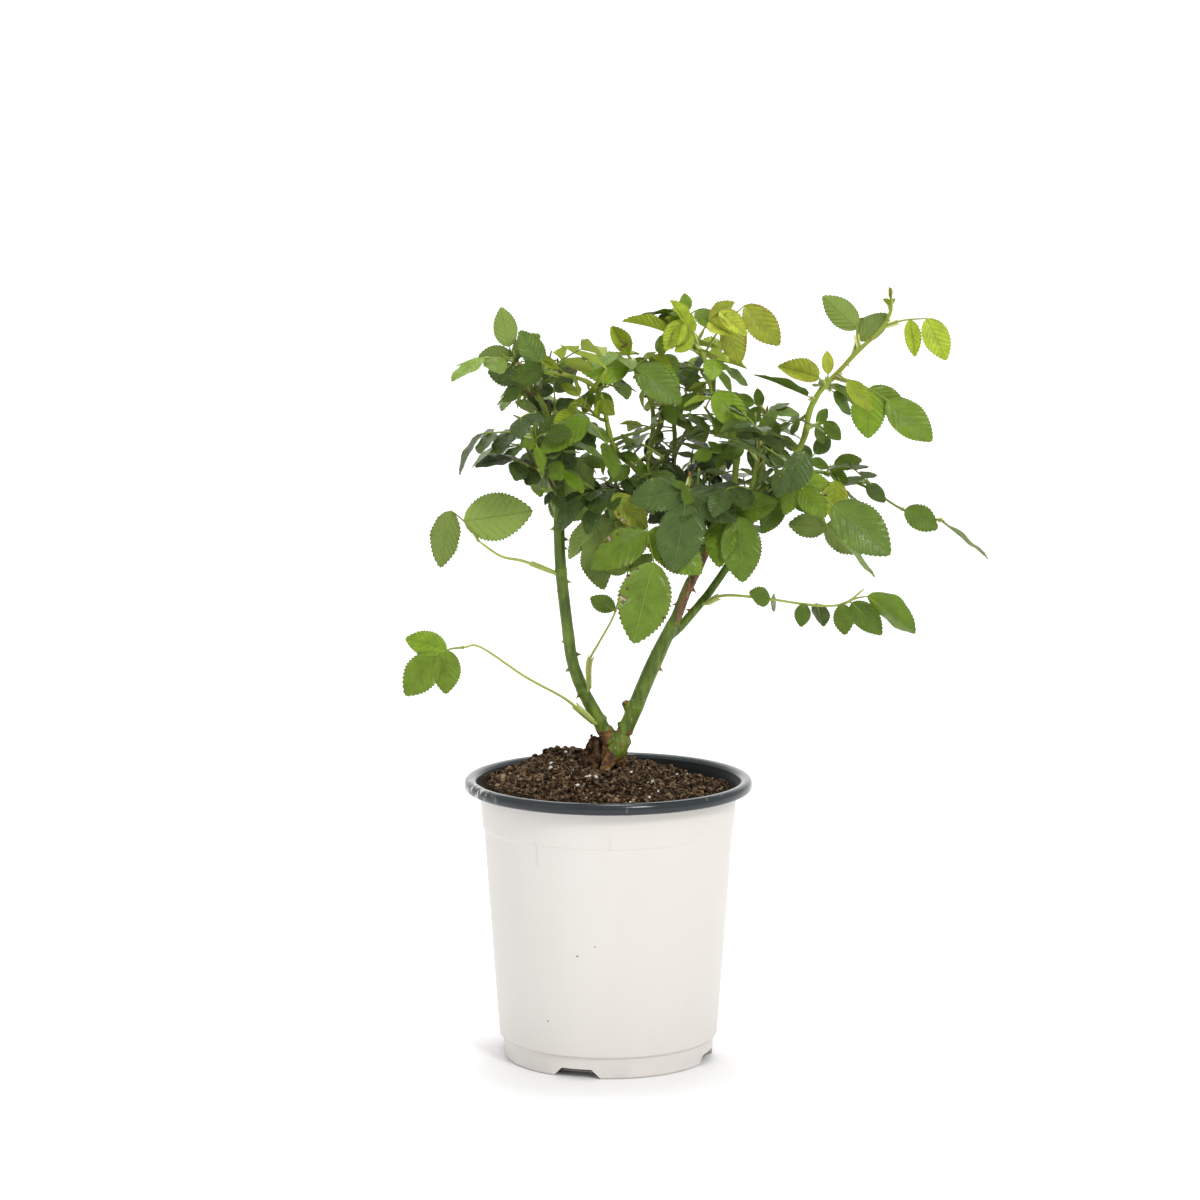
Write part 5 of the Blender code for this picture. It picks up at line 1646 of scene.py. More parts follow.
@dataclass
class Foliage:
    """All the leaflets, dealt out by tint, with their stalks, wings and buds."""

    growth: Growth
    seed: int = 5
    petiole: float = 0.52
    rachis_end: float = 0.30
    wing_length: float = 7.0
    wing_rows: int = 9
    curl_points: int = 8
    patterns: dict = field(default_factory=dict)
    sheaves: dict = field(default_factory=dict)
    charts: dict = field(default_factory=dict)

    def sheaf(self, kind: str) -> Sheaf:
        """The sheaf of a kind, made when it is first asked for."""
        return self.sheaves.setdefault(kind, Sheaf())

    def leaflet(self, blade: Blade, tint: Tint, turned: int, dice: Dice) -> None:
        """Add a leaflet to the sheaf of its tint, in a pale or a full shade.

        Args:
            blade: The leaflet.
            tint: Its colour.
            turned: Which side its upper face is on.
            dice: The seeded draws.
        """
        teeth = next(count for longer, count in TEETH if blade.length > longer)
        if teeth not in self.patterns:
            self.patterns[teeth] = LeafPattern(teeth)
        pattern = self.patterns[teeth]
        if (teeth, turned) not in self.charts:
            self.charts[teeth, turned] = pattern.chart(turned)
        shade = "pale" if dice.random() < 0.5 else "full"
        fold = dice.uniform(*YOUNG_FOLD) if tint in (Tint.LIME, Tint.BLUSH) else 1.0
        self.sheaf(f"{tint.name.lower()}_{shade}").add(
            pattern.shaped(blade, dice, fold), pattern.faces, self.charts[teeth, turned])

    def stalk(self, spray: Spray) -> None:
        """Add a leaf's stalk and the little stalks of its leaflets."""
        points = [on_path(spray.stalk, i / 8) for i in range(9)]
        thick = self.petiole * (0.75 if spray.fine else 1.0)
        radii = [thick + (self.rachis_end - thick) * i / 8 for i in range(9)]
        radii[0] *= 1.35
        end = spray.blades[0]
        points += [end.point(t, 0.0, -0.10) for t in (0.10, 0.3, 0.55)]
        radii += [0.26, 0.18, 0.08]
        self.sheaf("leaf_stalks").tube(points, radii)
        for blade in spray.blades[1:]:
            near = min(points[:9], key=lambda p: (p - blade.base).length)
            rib = [near, blade.point(0.0, 0.0, 0.0), blade.point(0.12, 0.0, -0.12),
                   blade.point(0.45, 0.0, -0.12)]
            self.sheaf("leaf_stalks").tube(rib, [0.28, 0.27, 0.22, 0.07], 5)

    def wings(self, path: Path, length: float, wide: float, stalk: float, out: Vector) -> None:
        """Add the pair of narrow wings that hug a leaf stalk's foot and end in free tips.

        Args:
            path: The stalk's points.
            length: How far up the stalk they go, in millimetres.
            wide: How far they stand out.
            stalk: The stalk's radius.
            out: Roughly where the first of the two points.
        """
        total = sum((b - a).length for a, b in zip(path, path[1:]))
        reach = min(length / max(total, 0.01), 0.8)
        for sign in (1.0, -1.0):
            points = []
            for i in range(self.wing_rows + 1):
                t = i / self.wing_rows
                centre, way = on_path(path, t * reach), way_at(path, t * reach)
                aside = across(way, out) * sign
                flat = way.cross(aside)
                free = max(t - 0.80, 0.0) / 0.20
                broad = wide * (1.0 if sign > 0 else 0.6)
                near = stalk * 0.4 + broad * 1.15 * free
                far = stalk + broad * (0.40 + 0.60 * math.sin(math.pi * (t * 0.62 + 0.06))
                                       + 0.10 * free)
                lift = aside * near + way * (broad * 0.3 * free)
                edge = aside * max(far, near + 0.06) + way * (broad * 0.1 * free)
                points += [centre + lift + flat * 0.10, centre + edge + flat * 0.05,
                           centre + edge - flat * 0.05, centre + lift - flat * 0.10]
            faces = []
            for i in range(self.wing_rows):
                a = 4 * i
                for k in range(4):
                    b = (k + 1) % 4
                    faces.append((a + k, a + b, a + 4 + b, a + 4 + k)[::int(sign)])
            last = 4 * self.wing_rows
            faces.append((3, 2, 1, 0)[::int(sign)])
            faces.append((last, last + 1, last + 2, last + 3)[::int(sign)])
            self.sheaf("wings").add(np.array([p[:] for p in points]), faces)

    def bud(self, base: Vector, way: Vector, length: float, thick: float) -> None:
        """Add a pointed bud from its foot, way, length and greatest radius."""
        shares = ((0.0, 0.55), (0.2, 0.95), (0.45, 1.0), (0.7, 0.7), (0.9, 0.3), (1.0, 0.06))
        points = [base + way * (length * t) for t, _ in shares]
        self.sheaf("buds").tube(points, [thick * r for _, r in shares], 7)

    def stems(self) -> None:
        """Add every shoot's stem, its leaf joints, its tip bud and its side buds."""
        for shoot in SHOOTS:
            dice = Dice(shoot.seed + STEM_SEED)
            points, radii = self.growth.rooted(shoot.name, 5)
            joints = [leaf.at for leaf in shoot.leaves]
            wide = []
            for i, radius in enumerate(radii):
                place = max(i - 2, 0) / (len(radii) - 3)
                swell = sum(math.exp(-((place - at) / 0.025) ** 2) for at in joints)
                wide.append(radius * (1.0 + 0.22 * min(swell, 1.0)))
            wide[-1] = max(wide[-1] * 0.6, 0.25)
            kind = "long_leaf_stalks" if shoot.name in LONE_LEAVES else "stems"
            if shoot.fill == "f":
                kind = "young_stems"
            self.sheaf(kind).tube(points, wide, 8)
            if shoot.name in LONE_LEAVES:
                long, wide = WING_SIZES[shoot.name]
                self.wings(points[2:], long, wide, 0.7, way_at(points, 0.1).cross(FRONT))
            else:
                tip = (points[-1] - points[-2]).normalized()
                self.bud(points[-1], tip, dice.uniform(2.2, 3.6), 0.62)
                path = self.growth.paths[shoot.name]
                for _ in range(3):
                    place = dice.uniform(0.2, 0.95)
                    way = way_at(path, place)
                    out = across(way, Vector([dice.uniform(-1, 1) for _ in range(3)]))
                    base = on_path(path, place) + out * at_place(shoot.radii, place) * 0.8
                    self.bud(base, (way + out * 0.7).normalized(), dice.uniform(1.3, 2.2), 0.42)

    def twigs(self) -> None:
        """Add the twigs with their buds, and the dry ends."""
        for twig in self.growth.twigs:
            points, radii = resampled(twig.points, twig.radii, 4)
            self.sheaf("dry_twigs" if twig.dry else "twigs").tube(points, radii)
            if not twig.dry:
                tip = (points[-1] - points[-2]).normalized()
                self.bud(points[-1] - tip * 0.4, tip, 1.9, 0.48)

    def dead_bits(self) -> None:
        """Add the stub of a cut shoot and the curled dry bits of old leaves."""
        self.sheaf("twigs").tube([Vector(p) for p in CUT_STUB], CUT_STUB_RADII, 10)
        last = self.curl_points - 1
        radii = [0.12 + 0.26 * math.sin(math.pi * i / last) for i in range(last + 1)]
        for number, (start, size) in enumerate(DRY_CURLS):
            dice = Dice(number + CURL_SEED)
            for _ in range(3):
                turn, lean = dice.uniform(0, FULL_TURN), dice.uniform(-0.6, 0.9)
                points = []
                for i in range(last + 1):
                    t = i / last
                    angle = turn + t * dice.uniform(2.2, 3.4)
                    swing = Vector((math.cos(angle), math.sin(angle) * 0.6, 0.0)) * (size * 0.28)
                    points.append(Vector(start) + swing + Vector((0, 0, lean * size * t)))
                self.sheaf("dry_curls").tube(points, radii)

    def build(self) -> None:
        """Gather everything, then make and ride the pieces."""
        dice = Dice(self.seed)
        for spray in self.growth.sprays:
            for blade in spray.blades:
                self.leaflet(blade, spray.tint, spray.turned, dice)
            self.stalk(spray)
            if not spray.fine and spray.shoot not in LONE_LEAVES:
                out = Vector([dice.uniform(-1, 1) for _ in range(3)])
                self.wings(spray.stalk, self.wing_length, 0.85, self.petiole, out)
        self.stems()
        self.twigs()
        self.dead_bits()
        masses = [shoot.name for shoot in SHOOTS]
        for kind, finish in leaf_finishes().items():
            if kind in self.sheaves:
                piece = self.sheaves[kind].piece(f"{kind}_leaflets", 60.0)
                ride(piece, finish, LEAF_SLOTS[kind.split("_")[0]], masses)
        for kind, finish in STALK_FINISHES.items():
            ride(self.sheaves[kind].piece(kind), finish, "leaf_light", masses)


def leaf_finishes() -> dict[str, LeafFinish]:
    """The leaf finishes: a full and a pale shade of each tint, by sheaf name."""
    made = {}
    for tint, finish in TINT_FINISHES.items():
        for shade, gain in SHADE_GAINS.items():
            kind = f"{tint.name.lower()}_{shade}"
            made[kind] = replace(finish, name=f"{kind}_leaf", upper=toned(finish.upper, gain),
                                 lower=toned(finish.lower, gain))
    return made


# Canes, prickles and crown


@dataclass
class Wood:
    """The canes, boughs and crown in one skin of bark, the old stump and the prickles."""

    growth: Growth
    voxel: float = 0.00038
    smooth_steps: int = 4
    seed: int = 9
    limb_step: float = 8.5
    stem_step: float = 13.0
    ripe_share: float = 0.45
    prickle_seat: float = 0.94
    samples: list = field(default_factory=list)

    def rod(self, name: str, points: Path, radii: Sequence[float]) -> Piece:
        """A round rod as a curve made a mesh.

        Args:
            name: The rod's name.
            points: Its path in millimetres.
            radii: Its radius at each point.

        Returns:
            The rod's object.
        """
        bpy.ops.object.select_all(action="DESELECT")
        bpy.ops.curve.primitive_bezier_curve_add()
        rod = bpy.context.object
        rod.name = name
        rod.location = (0, 0, 0)
        curve = rod.data
        curve.splines.clear()
        spline = curve.splines.new("POLY")
        spline.points.add(len(points) - 1)
        for spot, point, radius in zip(spline.points, points, radii):
            spot.co = (*(point * MM), 1.0)
            spot.radius = radius
        curve.dimensions = "3D"
        curve.bevel_depth = MM
        curve.bevel_resolution = 4
        curve.use_fill_caps = True
        bpy.ops.object.convert(target="MESH")
        return bpy.context.object

    def skin(self, name: str, rods: Sequence[Piece]) -> Piece:
        """Join some rods and grow one smooth skin over them.

        Args:
            name: The piece's name.
            rods: The rods.

        Returns:
            The piece.
        """
        bpy.ops.object.select_all(action="DESELECT")
        for rod in rods:
            rod.select_set(True)
        bpy.context.view_layer.objects.active = rods[0]
        if len(rods) > 1:
            bpy.ops.object.join()
        made = bpy.context.object
        made.name = name
        made.data.name = name
        for kind, settings in (("REMESH", {"mode": "VOXEL", "voxel_size": self.voxel}),
                               ("SMOOTH", {"factor": 0.5, "iterations": self.smooth_steps})):
            step = made.modifiers.new(kind.lower(), kind)
            for key, value in settings.items():
                setattr(step, key, value)
            bpy.ops.object.modifier_apply(modifier=step.name)
        made.data.shade_smooth()
        return made

    def rods(self) -> list[Piece]:
        """The canes and boughs as rods, with their samples kept for the relief."""
        rods = []
        for limb in LIMBS:
            back = 0.0 if limb.name.endswith("cane") else 2.6
            points, radii = self.growth.rooted(limb.name, 6, back)
            rods.append(self.rod(limb.name + "_rod", points, radii))
            for i, point in enumerate(points):
                self.samples.append((point, limb, max(i - 2, 0) / (len(points) - 3)))
        return rods

    def crown_rods(self) -> list[Piece]:
        """The knob that the canes spring from: trunk, flare, shoulder burrs and root foot."""
        trunk = [Vector(p) for p in CROWN_TRUNK]
        rods = [self.rod("crown_rod", trunk, CROWN_RADII)]
        for start, end, first, last in CROWN_BURRS:
            middle = (Vector(start) + Vector(end)) / 2
            rods.append(self.rod("burr", [Vector(start), middle, Vector(end)],
                                 [first, (first + last) / 2, last]))
        return rods

    def relief(self, made: Piece) -> None:
        """Raise joints, wrinkles and rough bark, and mark what is ripe, knobbly or a joint.

        Args:
            made: The skin of the canes and the crown.
        """
        tree = KDTree(len(self.samples))
        for i, (point, *_) in enumerate(self.samples):
            tree.insert(point, i)
        tree.balance()
        joints = {limb.name: list(BARE_JOINTS.get(limb.name, ())) for limb in LIMBS}
        for item in LIMBS + SHOOTS:
            if item.parent in joints:
                joints[item.parent].append(item.at)
        mesh = made.data
        count = len(mesh.vertices)
        ripe, knob, node, worn = (np.zeros(count) for _ in range(4))
        normals = [vert.normal.copy() for vert in mesh.vertices]
        for i, vert in enumerate(mesh.vertices):
            spot = vert.co / MM
            point, limb, place = self.samples[tree.find(spot)[1]]
            total = limb.length()
            long = total * place
            rough = clamp((BARK_TOP - spot.z) / BARK_FADE)
            ragged = 1.6 * noise.noise(spot * 0.55)
            cheek = clamp((GREEN_CHEEK_REACH + ragged - (spot - GREEN_CHEEK).length) / 1.4)
            worn[i] = rough
            knob[i] = rough * (1.0 - cheek)
            for scar, reach in SCARS:
                knob[i] = max(knob[i], clamp((reach - (spot - scar).length) / 0.6))
            near = min((abs(place - at) * total for at in joints[limb.name]), default=99.0)
            ring = math.exp(-(near / 1.6) ** 2)
            node[i] = ring * (1.0 - rough)
            low, high = limb.ripe
            if high > 0.0:
                out = (spot - point).normalized()
                ripe[i] = high * clamp((place - low) / 0.12) * (0.5 + 0.5 * out.dot(SUNNY))
            fibre = noise.noise(Vector((spot.x * 1.1, spot.y * 1.1, spot.z * 0.16)))
            lump = noise.noise(spot * 0.42) + 0.5 * noise.noise(spot * 1.1)
            wrinkle = math.sin(long * 4.6 + noise.noise(spot * 0.8) * 2.0)
            base = math.exp(-(long / 11.0) ** 2) if limb.name == "left_cane" else 0.0
            shift = (0.08 * fibre + 0.14 * ring + 0.12 * wrinkle * base * (1.0 - 0.6 * rough)
                     + rough * (0.55 * lump * (1.0 - 0.5 * cheek)))
            vert.co += normals[i] * (shift * MM)
        for name, values in (("ripe", ripe), ("knob", knob), ("node", node), ("rough", worn)):
            layer = mesh.attributes.new(name, "FLOAT", "POINT")
            layer.data.foreach_set("value", values)

    def stump(self) -> Piece:
        """The old woody stump, splintered at its top."""
        rods = [self.rod("stump_rod", [Vector(p) for p in STUMP_PATH], STUMP_RADII)]
        dice = Dice(self.seed)
        start = Vector(STUMP_PATH[2])
        for _ in range(SPLINTERS):
            angle = dice.uniform(0, math.tau)
            out = Vector((math.cos(angle), math.sin(angle), 0.0))
            splinter = [start + out * 2.3 - Vector((0.5, 0.0, 3.0)),
                        start + out * 2.8 + Vector((0.6, -0.4, 3.0)),
                        start + out * 2.1 + Vector((1.2, -0.8, dice.uniform(4.5, 8.5)))]
            rods.append(self.rod("splinter", splinter, [1.3, 1.0, 0.3]))
        made = self.skin("old_stump_wood", rods)
        normals = [vert.normal.copy() for vert in made.data.vertices]
        for vert, normal in zip(made.data.vertices, normals):
            spot = vert.co / MM
            fibre = noise.noise(Vector((spot.x * 1.7, spot.y * 1.7, spot.z * 0.35)))
            lump = noise.noise(spot * 0.5) + 0.6 * noise.noise(spot * 1.4)
            vert.co += normal * ((0.8 * fibre + 0.7 * lump) * MM)
        return made

    def prickle(self, sheaf: Sheaf, name: str, share: float, out: Vector, size: float) -> None:
        """Add a prickle: a long foot on the rind, drawn out to a hooked point.

        Args:
            sheaf: The sheaf that it joins.
            name: The cane, bough or stem that carries it.
            share: Its place along that.
            out: The direction away from it.
            size: Its length in millimetres.
        """
        path = self.growth.paths[name]
        radius = at_place(self.growth.radii[name], share)
        base = on_path(path, share) + out * radius * self.prickle_seat
        along = way_at(path, share)
        side = along.cross(out)
        rings = []
        sides = 6
        for t, long, wide in PRICKLE_RINGS:
            middle = base + out * (size * (t - 0.12)) - along * (size * 0.42 * t * t)
            for k in range(sides):
                angle = math.tau * k / sides
                rings.append(middle + along * (math.cos(angle) * long * size)
                             + side * (math.sin(angle) * wide * size))
        faces = []
        for i in range(len(PRICKLE_RINGS) - 1):
            for k in range(sides):
                a, b = i * sides + k, i * sides + (k + 1) % sides
                faces.append((a, a + sides, b + sides, b))
        rings.append(base + out * (size * 1.02) - along * (size * 0.50))
        top = (len(PRICKLE_RINGS) - 1) * sides
        faces += [(top + k, len(rings) - 1, top + (k + 1) % sides) for k in range(sides)]
        faces.append(tuple(range(sides)))
        sheaf.add(np.array([p[:] for p in rings]), faces)

    def prickles(self) -> tuple[Sheaf, Sheaf]:
        """Set prickles along canes, boughs and stems.

        Returns:
            The green prickles and the ripe red-brown ones.
        """
        green, ripe = Sheaf(), Sheaf()
        for item in LIMBS + SHOOTS:
            if item.name in LONE_LEAVES:
                continue
            dice = Dice(self.seed + len(item.name) * 7 + len(item.legs))
            total, stout = item.length(), isinstance(item, Limb)
            place = 3.0 + dice.uniform(0, 4)
            while place < total - 4:
                way = way_at(self.growth.paths[item.name], place / total)
                out = across(way, Vector([dice.uniform(-1, 1) for _ in range(3)]))
                size = dice.uniform(1.3, 2.5) * (1.0 if stout else 0.75)
                sheaf = ripe if dice.random() < self.ripe_share else green
                self.prickle(sheaf, item.name, place / total, out, size)
                place += dice.uniform(0.5, 1.5) * (self.limb_step if stout else self.stem_step)
        for name, share, turn, size in SET_PRICKLES:
            way = way_at(self.growth.paths[name], share)
            right = across(way, Vector((1, 0, 0)))
            out = (right * math.cos(math.radians(turn))
                   - way.cross(right) * math.sin(math.radians(turn))).normalized()
            self.prickle(ripe if size > 2.3 else green, name, share, out, size)
        return green, ripe

    def build(self) -> None:
        """Make and ride the bark, the stump and the prickles."""
        bark = self.skin("cane_and_crown_bark", self.rods() + self.crown_rods())
        self.relief(bark)
        ride(bark, CANE_BARK, "cane_green", [limb.name for limb in LIMBS] + ["crown"])
        ride(self.stump(), STUMP_BARK, "stump_wood", ["old_stub"])
        green, ripe = self.prickles()
        ride(green.piece("green_prickles"), PRICKLE_GREEN, "cane_green")
        ride(ripe.piece("ripe_prickles"), PRICKLE_RIPE, "cane_brown")


# Pot and potting mix


def edit_all() -> None:
    """Enter edit mode with the whole mesh selected."""
    bpy.ops.object.mode_set(mode="EDIT")
    bpy.ops.mesh.select_all(action="SELECT")


def lathe(name: str, profile: Section, sides: int, closed: bool = True) -> Piece:
    """Turn a ring-shaped section by extruding a circle from point to point.

    Args:
        name: The piece's name.
        profile: The section's (radius, height) points in millimetres.
        sides: How many sides the circle has.
        closed: Whether the last point joins the first.

    Returns:
        The turned piece.
    """
    bpy.ops.object.select_all(action="DESELECT")
    first_radius, first_height = profile[0]
    bpy.ops.mesh.primitive_circle_add(vertices=sides, radius=first_radius * MM,
                                      location=(0, 0, first_height * MM))
    made = bpy.context.object
    made.name = name
    made.data.name = name
    bpy.ops.object.transform_apply(location=True, rotation=True, scale=True)
    edit_all()
    route = list(profile) + ([profile[0]] if closed else [])
    for (radius, height), (next_radius, next_height) in zip(route, route[1:]):
        bpy.ops.mesh.extrude_region_move(
            TRANSFORM_OT_translate={"value": (0, 0, (next_height - height) * MM)})
        if next_radius > 0.0:
            gain = next_radius / radius
            bpy.ops.transform.resize(value=(gain, gain, 1.0), center_override=(0, 0, 0))
        else:
            bpy.ops.mesh.merge(type="CENTER")
            break
    bpy.ops.mesh.select_all(action="SELECT")
    bpy.ops.mesh.remove_doubles(threshold=0.000002)
    bpy.ops.mesh.normals_make_consistent(inside=False)
    bpy.ops.object.mode_set(mode="OBJECT")
    bpy.ops.object.shade_smooth_by_angle(angle=math.radians(40))
    return made


def softened(profile: Section, soft: float = 0.35, steps: int = 3) -> list[tuple[float, float]]:
    """Round the corners of a section.

    Args:
        profile: The section's corners.
        soft: How far from a corner its round starts.
        steps: How many spans each round has.

    Returns:
        The rounded section.
    """
    made = [profile[0]]
    for before, corner, after in zip(profile, profile[1:], profile[2:]):
        ends = []
        for other in (before, after):
            gap = math.dist(corner, other)
            share = min(soft, gap * 0.45) / gap
            ends.append([c + (o - c) * share for c, o in zip(corner, other)])
        for i in range(steps + 1):
            t = i / steps
            made.append(tuple(a * (1 - t) ** 2 + c * 2 * t * (1 - t) + b * t * t
                              for a, c, b in zip(ends[0], corner, ends[1])))
    return made + [profile[-1]]


@dataclass
class NurseryPot:
    """The pot in its two plastics: white wall, dark liner and rolled lip, with notches."""

    sides: int = 192
    skin: float = 0.62
    outer: tuple = ((53.78, 113.1), (53.45, 111.2), (52.5, 97.9), (52.0, 97.3), (45.7, 9.4),
                    (44.1, 8.4), (43.8, 0.5), (43.3, 0.0))
    foot: tuple = ((41.9, 0.0), (41.3, 0.45), (40.6, 0.6))
    liner: tuple = ((42.6, 1.2), (43.1, 9.0), (44.8, 10.2), (51.1, 97.5), (51.6, 98.2),
                    (52.4, 111.6), (53.4, 114.0), (54.9, 116.2))
    roll: tuple = ((54.9, 116.3), (55.5, 117.0), (56.2, 117.45), (57.2, 117.7), (58.2, 117.7),
                   (59.0, 117.45), (59.55, 116.95), (59.88, 116.2), (60.0, 115.2),
                   (59.95, 114.3), (59.7, 113.6), (59.2, 113.15), (58.6, 113.0))
    roll_inner: tuple = ((57.9, 113.1), (57.6, 113.8), (57.0, 114.9), (55.6, 114.9),
                         (54.3, 113.4))
    notches: int = 4
    notch_heading: float = 252.4
    notch_height: float = 3.7
    notch_wide: float = 20.2
    notch_narrow: float = 13.0
    notch_reach: tuple[float, float] = (36.0, 50.0)

    def wall(self) -> Piece:
        """The white outer wall with its step lines and raised base."""
        outer = softened(self.outer)
        inner = [(radius - self.skin, max(height, 0.6))
                 for radius, height in reversed(self.outer[:-1])]
        floor = [(0.02, 0.6), (0.02, 1.15), (41.6, 1.15)]
        section = outer + list(self.foot) + floor + inner[1:]
        return lathe("pot_wall", section, self.sides)

    def lining(self) -> Piece:
        """The black inner layer, from the floor to under the lip."""
        inner = softened(self.liner)
        outer = [(radius + 0.52, height) for radius, height in reversed(self.liner[:-1])]
        return lathe("pot_liner", inner + [(54.95, 115.4)] + outer, self.sides)

    def lip(self) -> Piece:
        """The rolled lip, hollow under its roll."""
        return lathe("pot_lip", list(self.roll) + list(self.roll_inner), self.sides)

    def cutter(self, number: int) -> Piece:
        """One notch's cutter: a block whose top is drawn in.

        Args:
            number: Which notch it cuts.

        Returns:
            The cutter.
        """
        near, far = self.notch_reach
        bpy.ops.object.select_all(action="DESELECT")
        bpy.ops.mesh.primitive_cube_add(size=1.0)
        made = bpy.context.object
        for vert in made.data.vertices:
            top = vert.co.z > 0
            wide = self.notch_narrow if top else self.notch_wide + 2.0
            vert.co = Vector((near if vert.co.x < 0 else far, wide * vert.co.y,
                              self.notch_height if top else -1.0)) * MM
        made.rotation_euler.z = math.radians(self.notch_heading + 360.0 / self.notches * number)
        bpy.ops.object.transform_apply(location=True, rotation=True, scale=True)
        edit_all()
        bpy.ops.mesh.bevel(offset=0.0006, segments=3, affect="EDGES")
        bpy.ops.object.mode_set(mode="OBJECT")
        return made

    def notch(self, piece: Piece) -> None:
        """Cut the four drain notches from a piece."""
        for number in range(self.notches):
            cutter = self.cutter(number)
            cut = piece.modifiers.new("notch", "BOOLEAN")
            cut.operation = "DIFFERENCE"
            cut.solver = "EXACT"
            cut.object = cutter
            bpy.context.view_layer.objects.active = piece
            bpy.ops.object.modifier_apply(modifier=cut.name)
            bpy.data.objects.remove(cutter, do_unlink=True)

    def build(self) -> None:
        """Make, cut, dress and ride the three layers."""
        for piece, finish in ((self.wall(), POT_WALL), (self.lining(), POT_LINER),
                              (self.lip(), POT_LIP)):
            if finish is not POT_LIP:
                self.notch(piece)
            ride(piece, finish, "pot_plastic", ["pot"])


def edge_height(heading: float) -> float:
    """The height of the mix where it meets the pot: it has sunk at the back right."""
    away = (heading - 38.0 + 180.0) % 360.0 - 180.0
    ripple = 0.25 * math.sin(math.radians(heading * 5)) + 0.15 * math.sin(math.radians(heading * 9))
    return 115.6 - 4.6 * math.exp(-(away / 30.0) ** 2 / 2) + ripple


def mix_height(x: float, y: float) -> float:
    """The height of the mix: level round the crown, heaped behind it to the left.

    Args:
        x: Millimetres to the right.
        y: Millimetres to the back.

    Returns:
        The height in millimetres.
    """
    edge = edge_height(math.degrees(math.atan2(y, x)))
    t = clamp((math.hypot(x, y) - PAD_RADIUS) / (50.0 - PAD_RADIUS))
    smooth = t * t * (3 - 2 * t)
    heap = 6.2 * math.exp(-((x + 21) ** 2 + (y - 31) ** 2) / (2 * 12.0 ** 2))
    lumps = 0.7 * math.sin(x * 0.41 + 1.3) * math.sin(y * 0.37 + 0.4)
    return PAD_HEIGHT + (edge - PAD_HEIGHT) * smooth + (heap + lumps) * min(4 * t, 4 * (1 - t), 1)


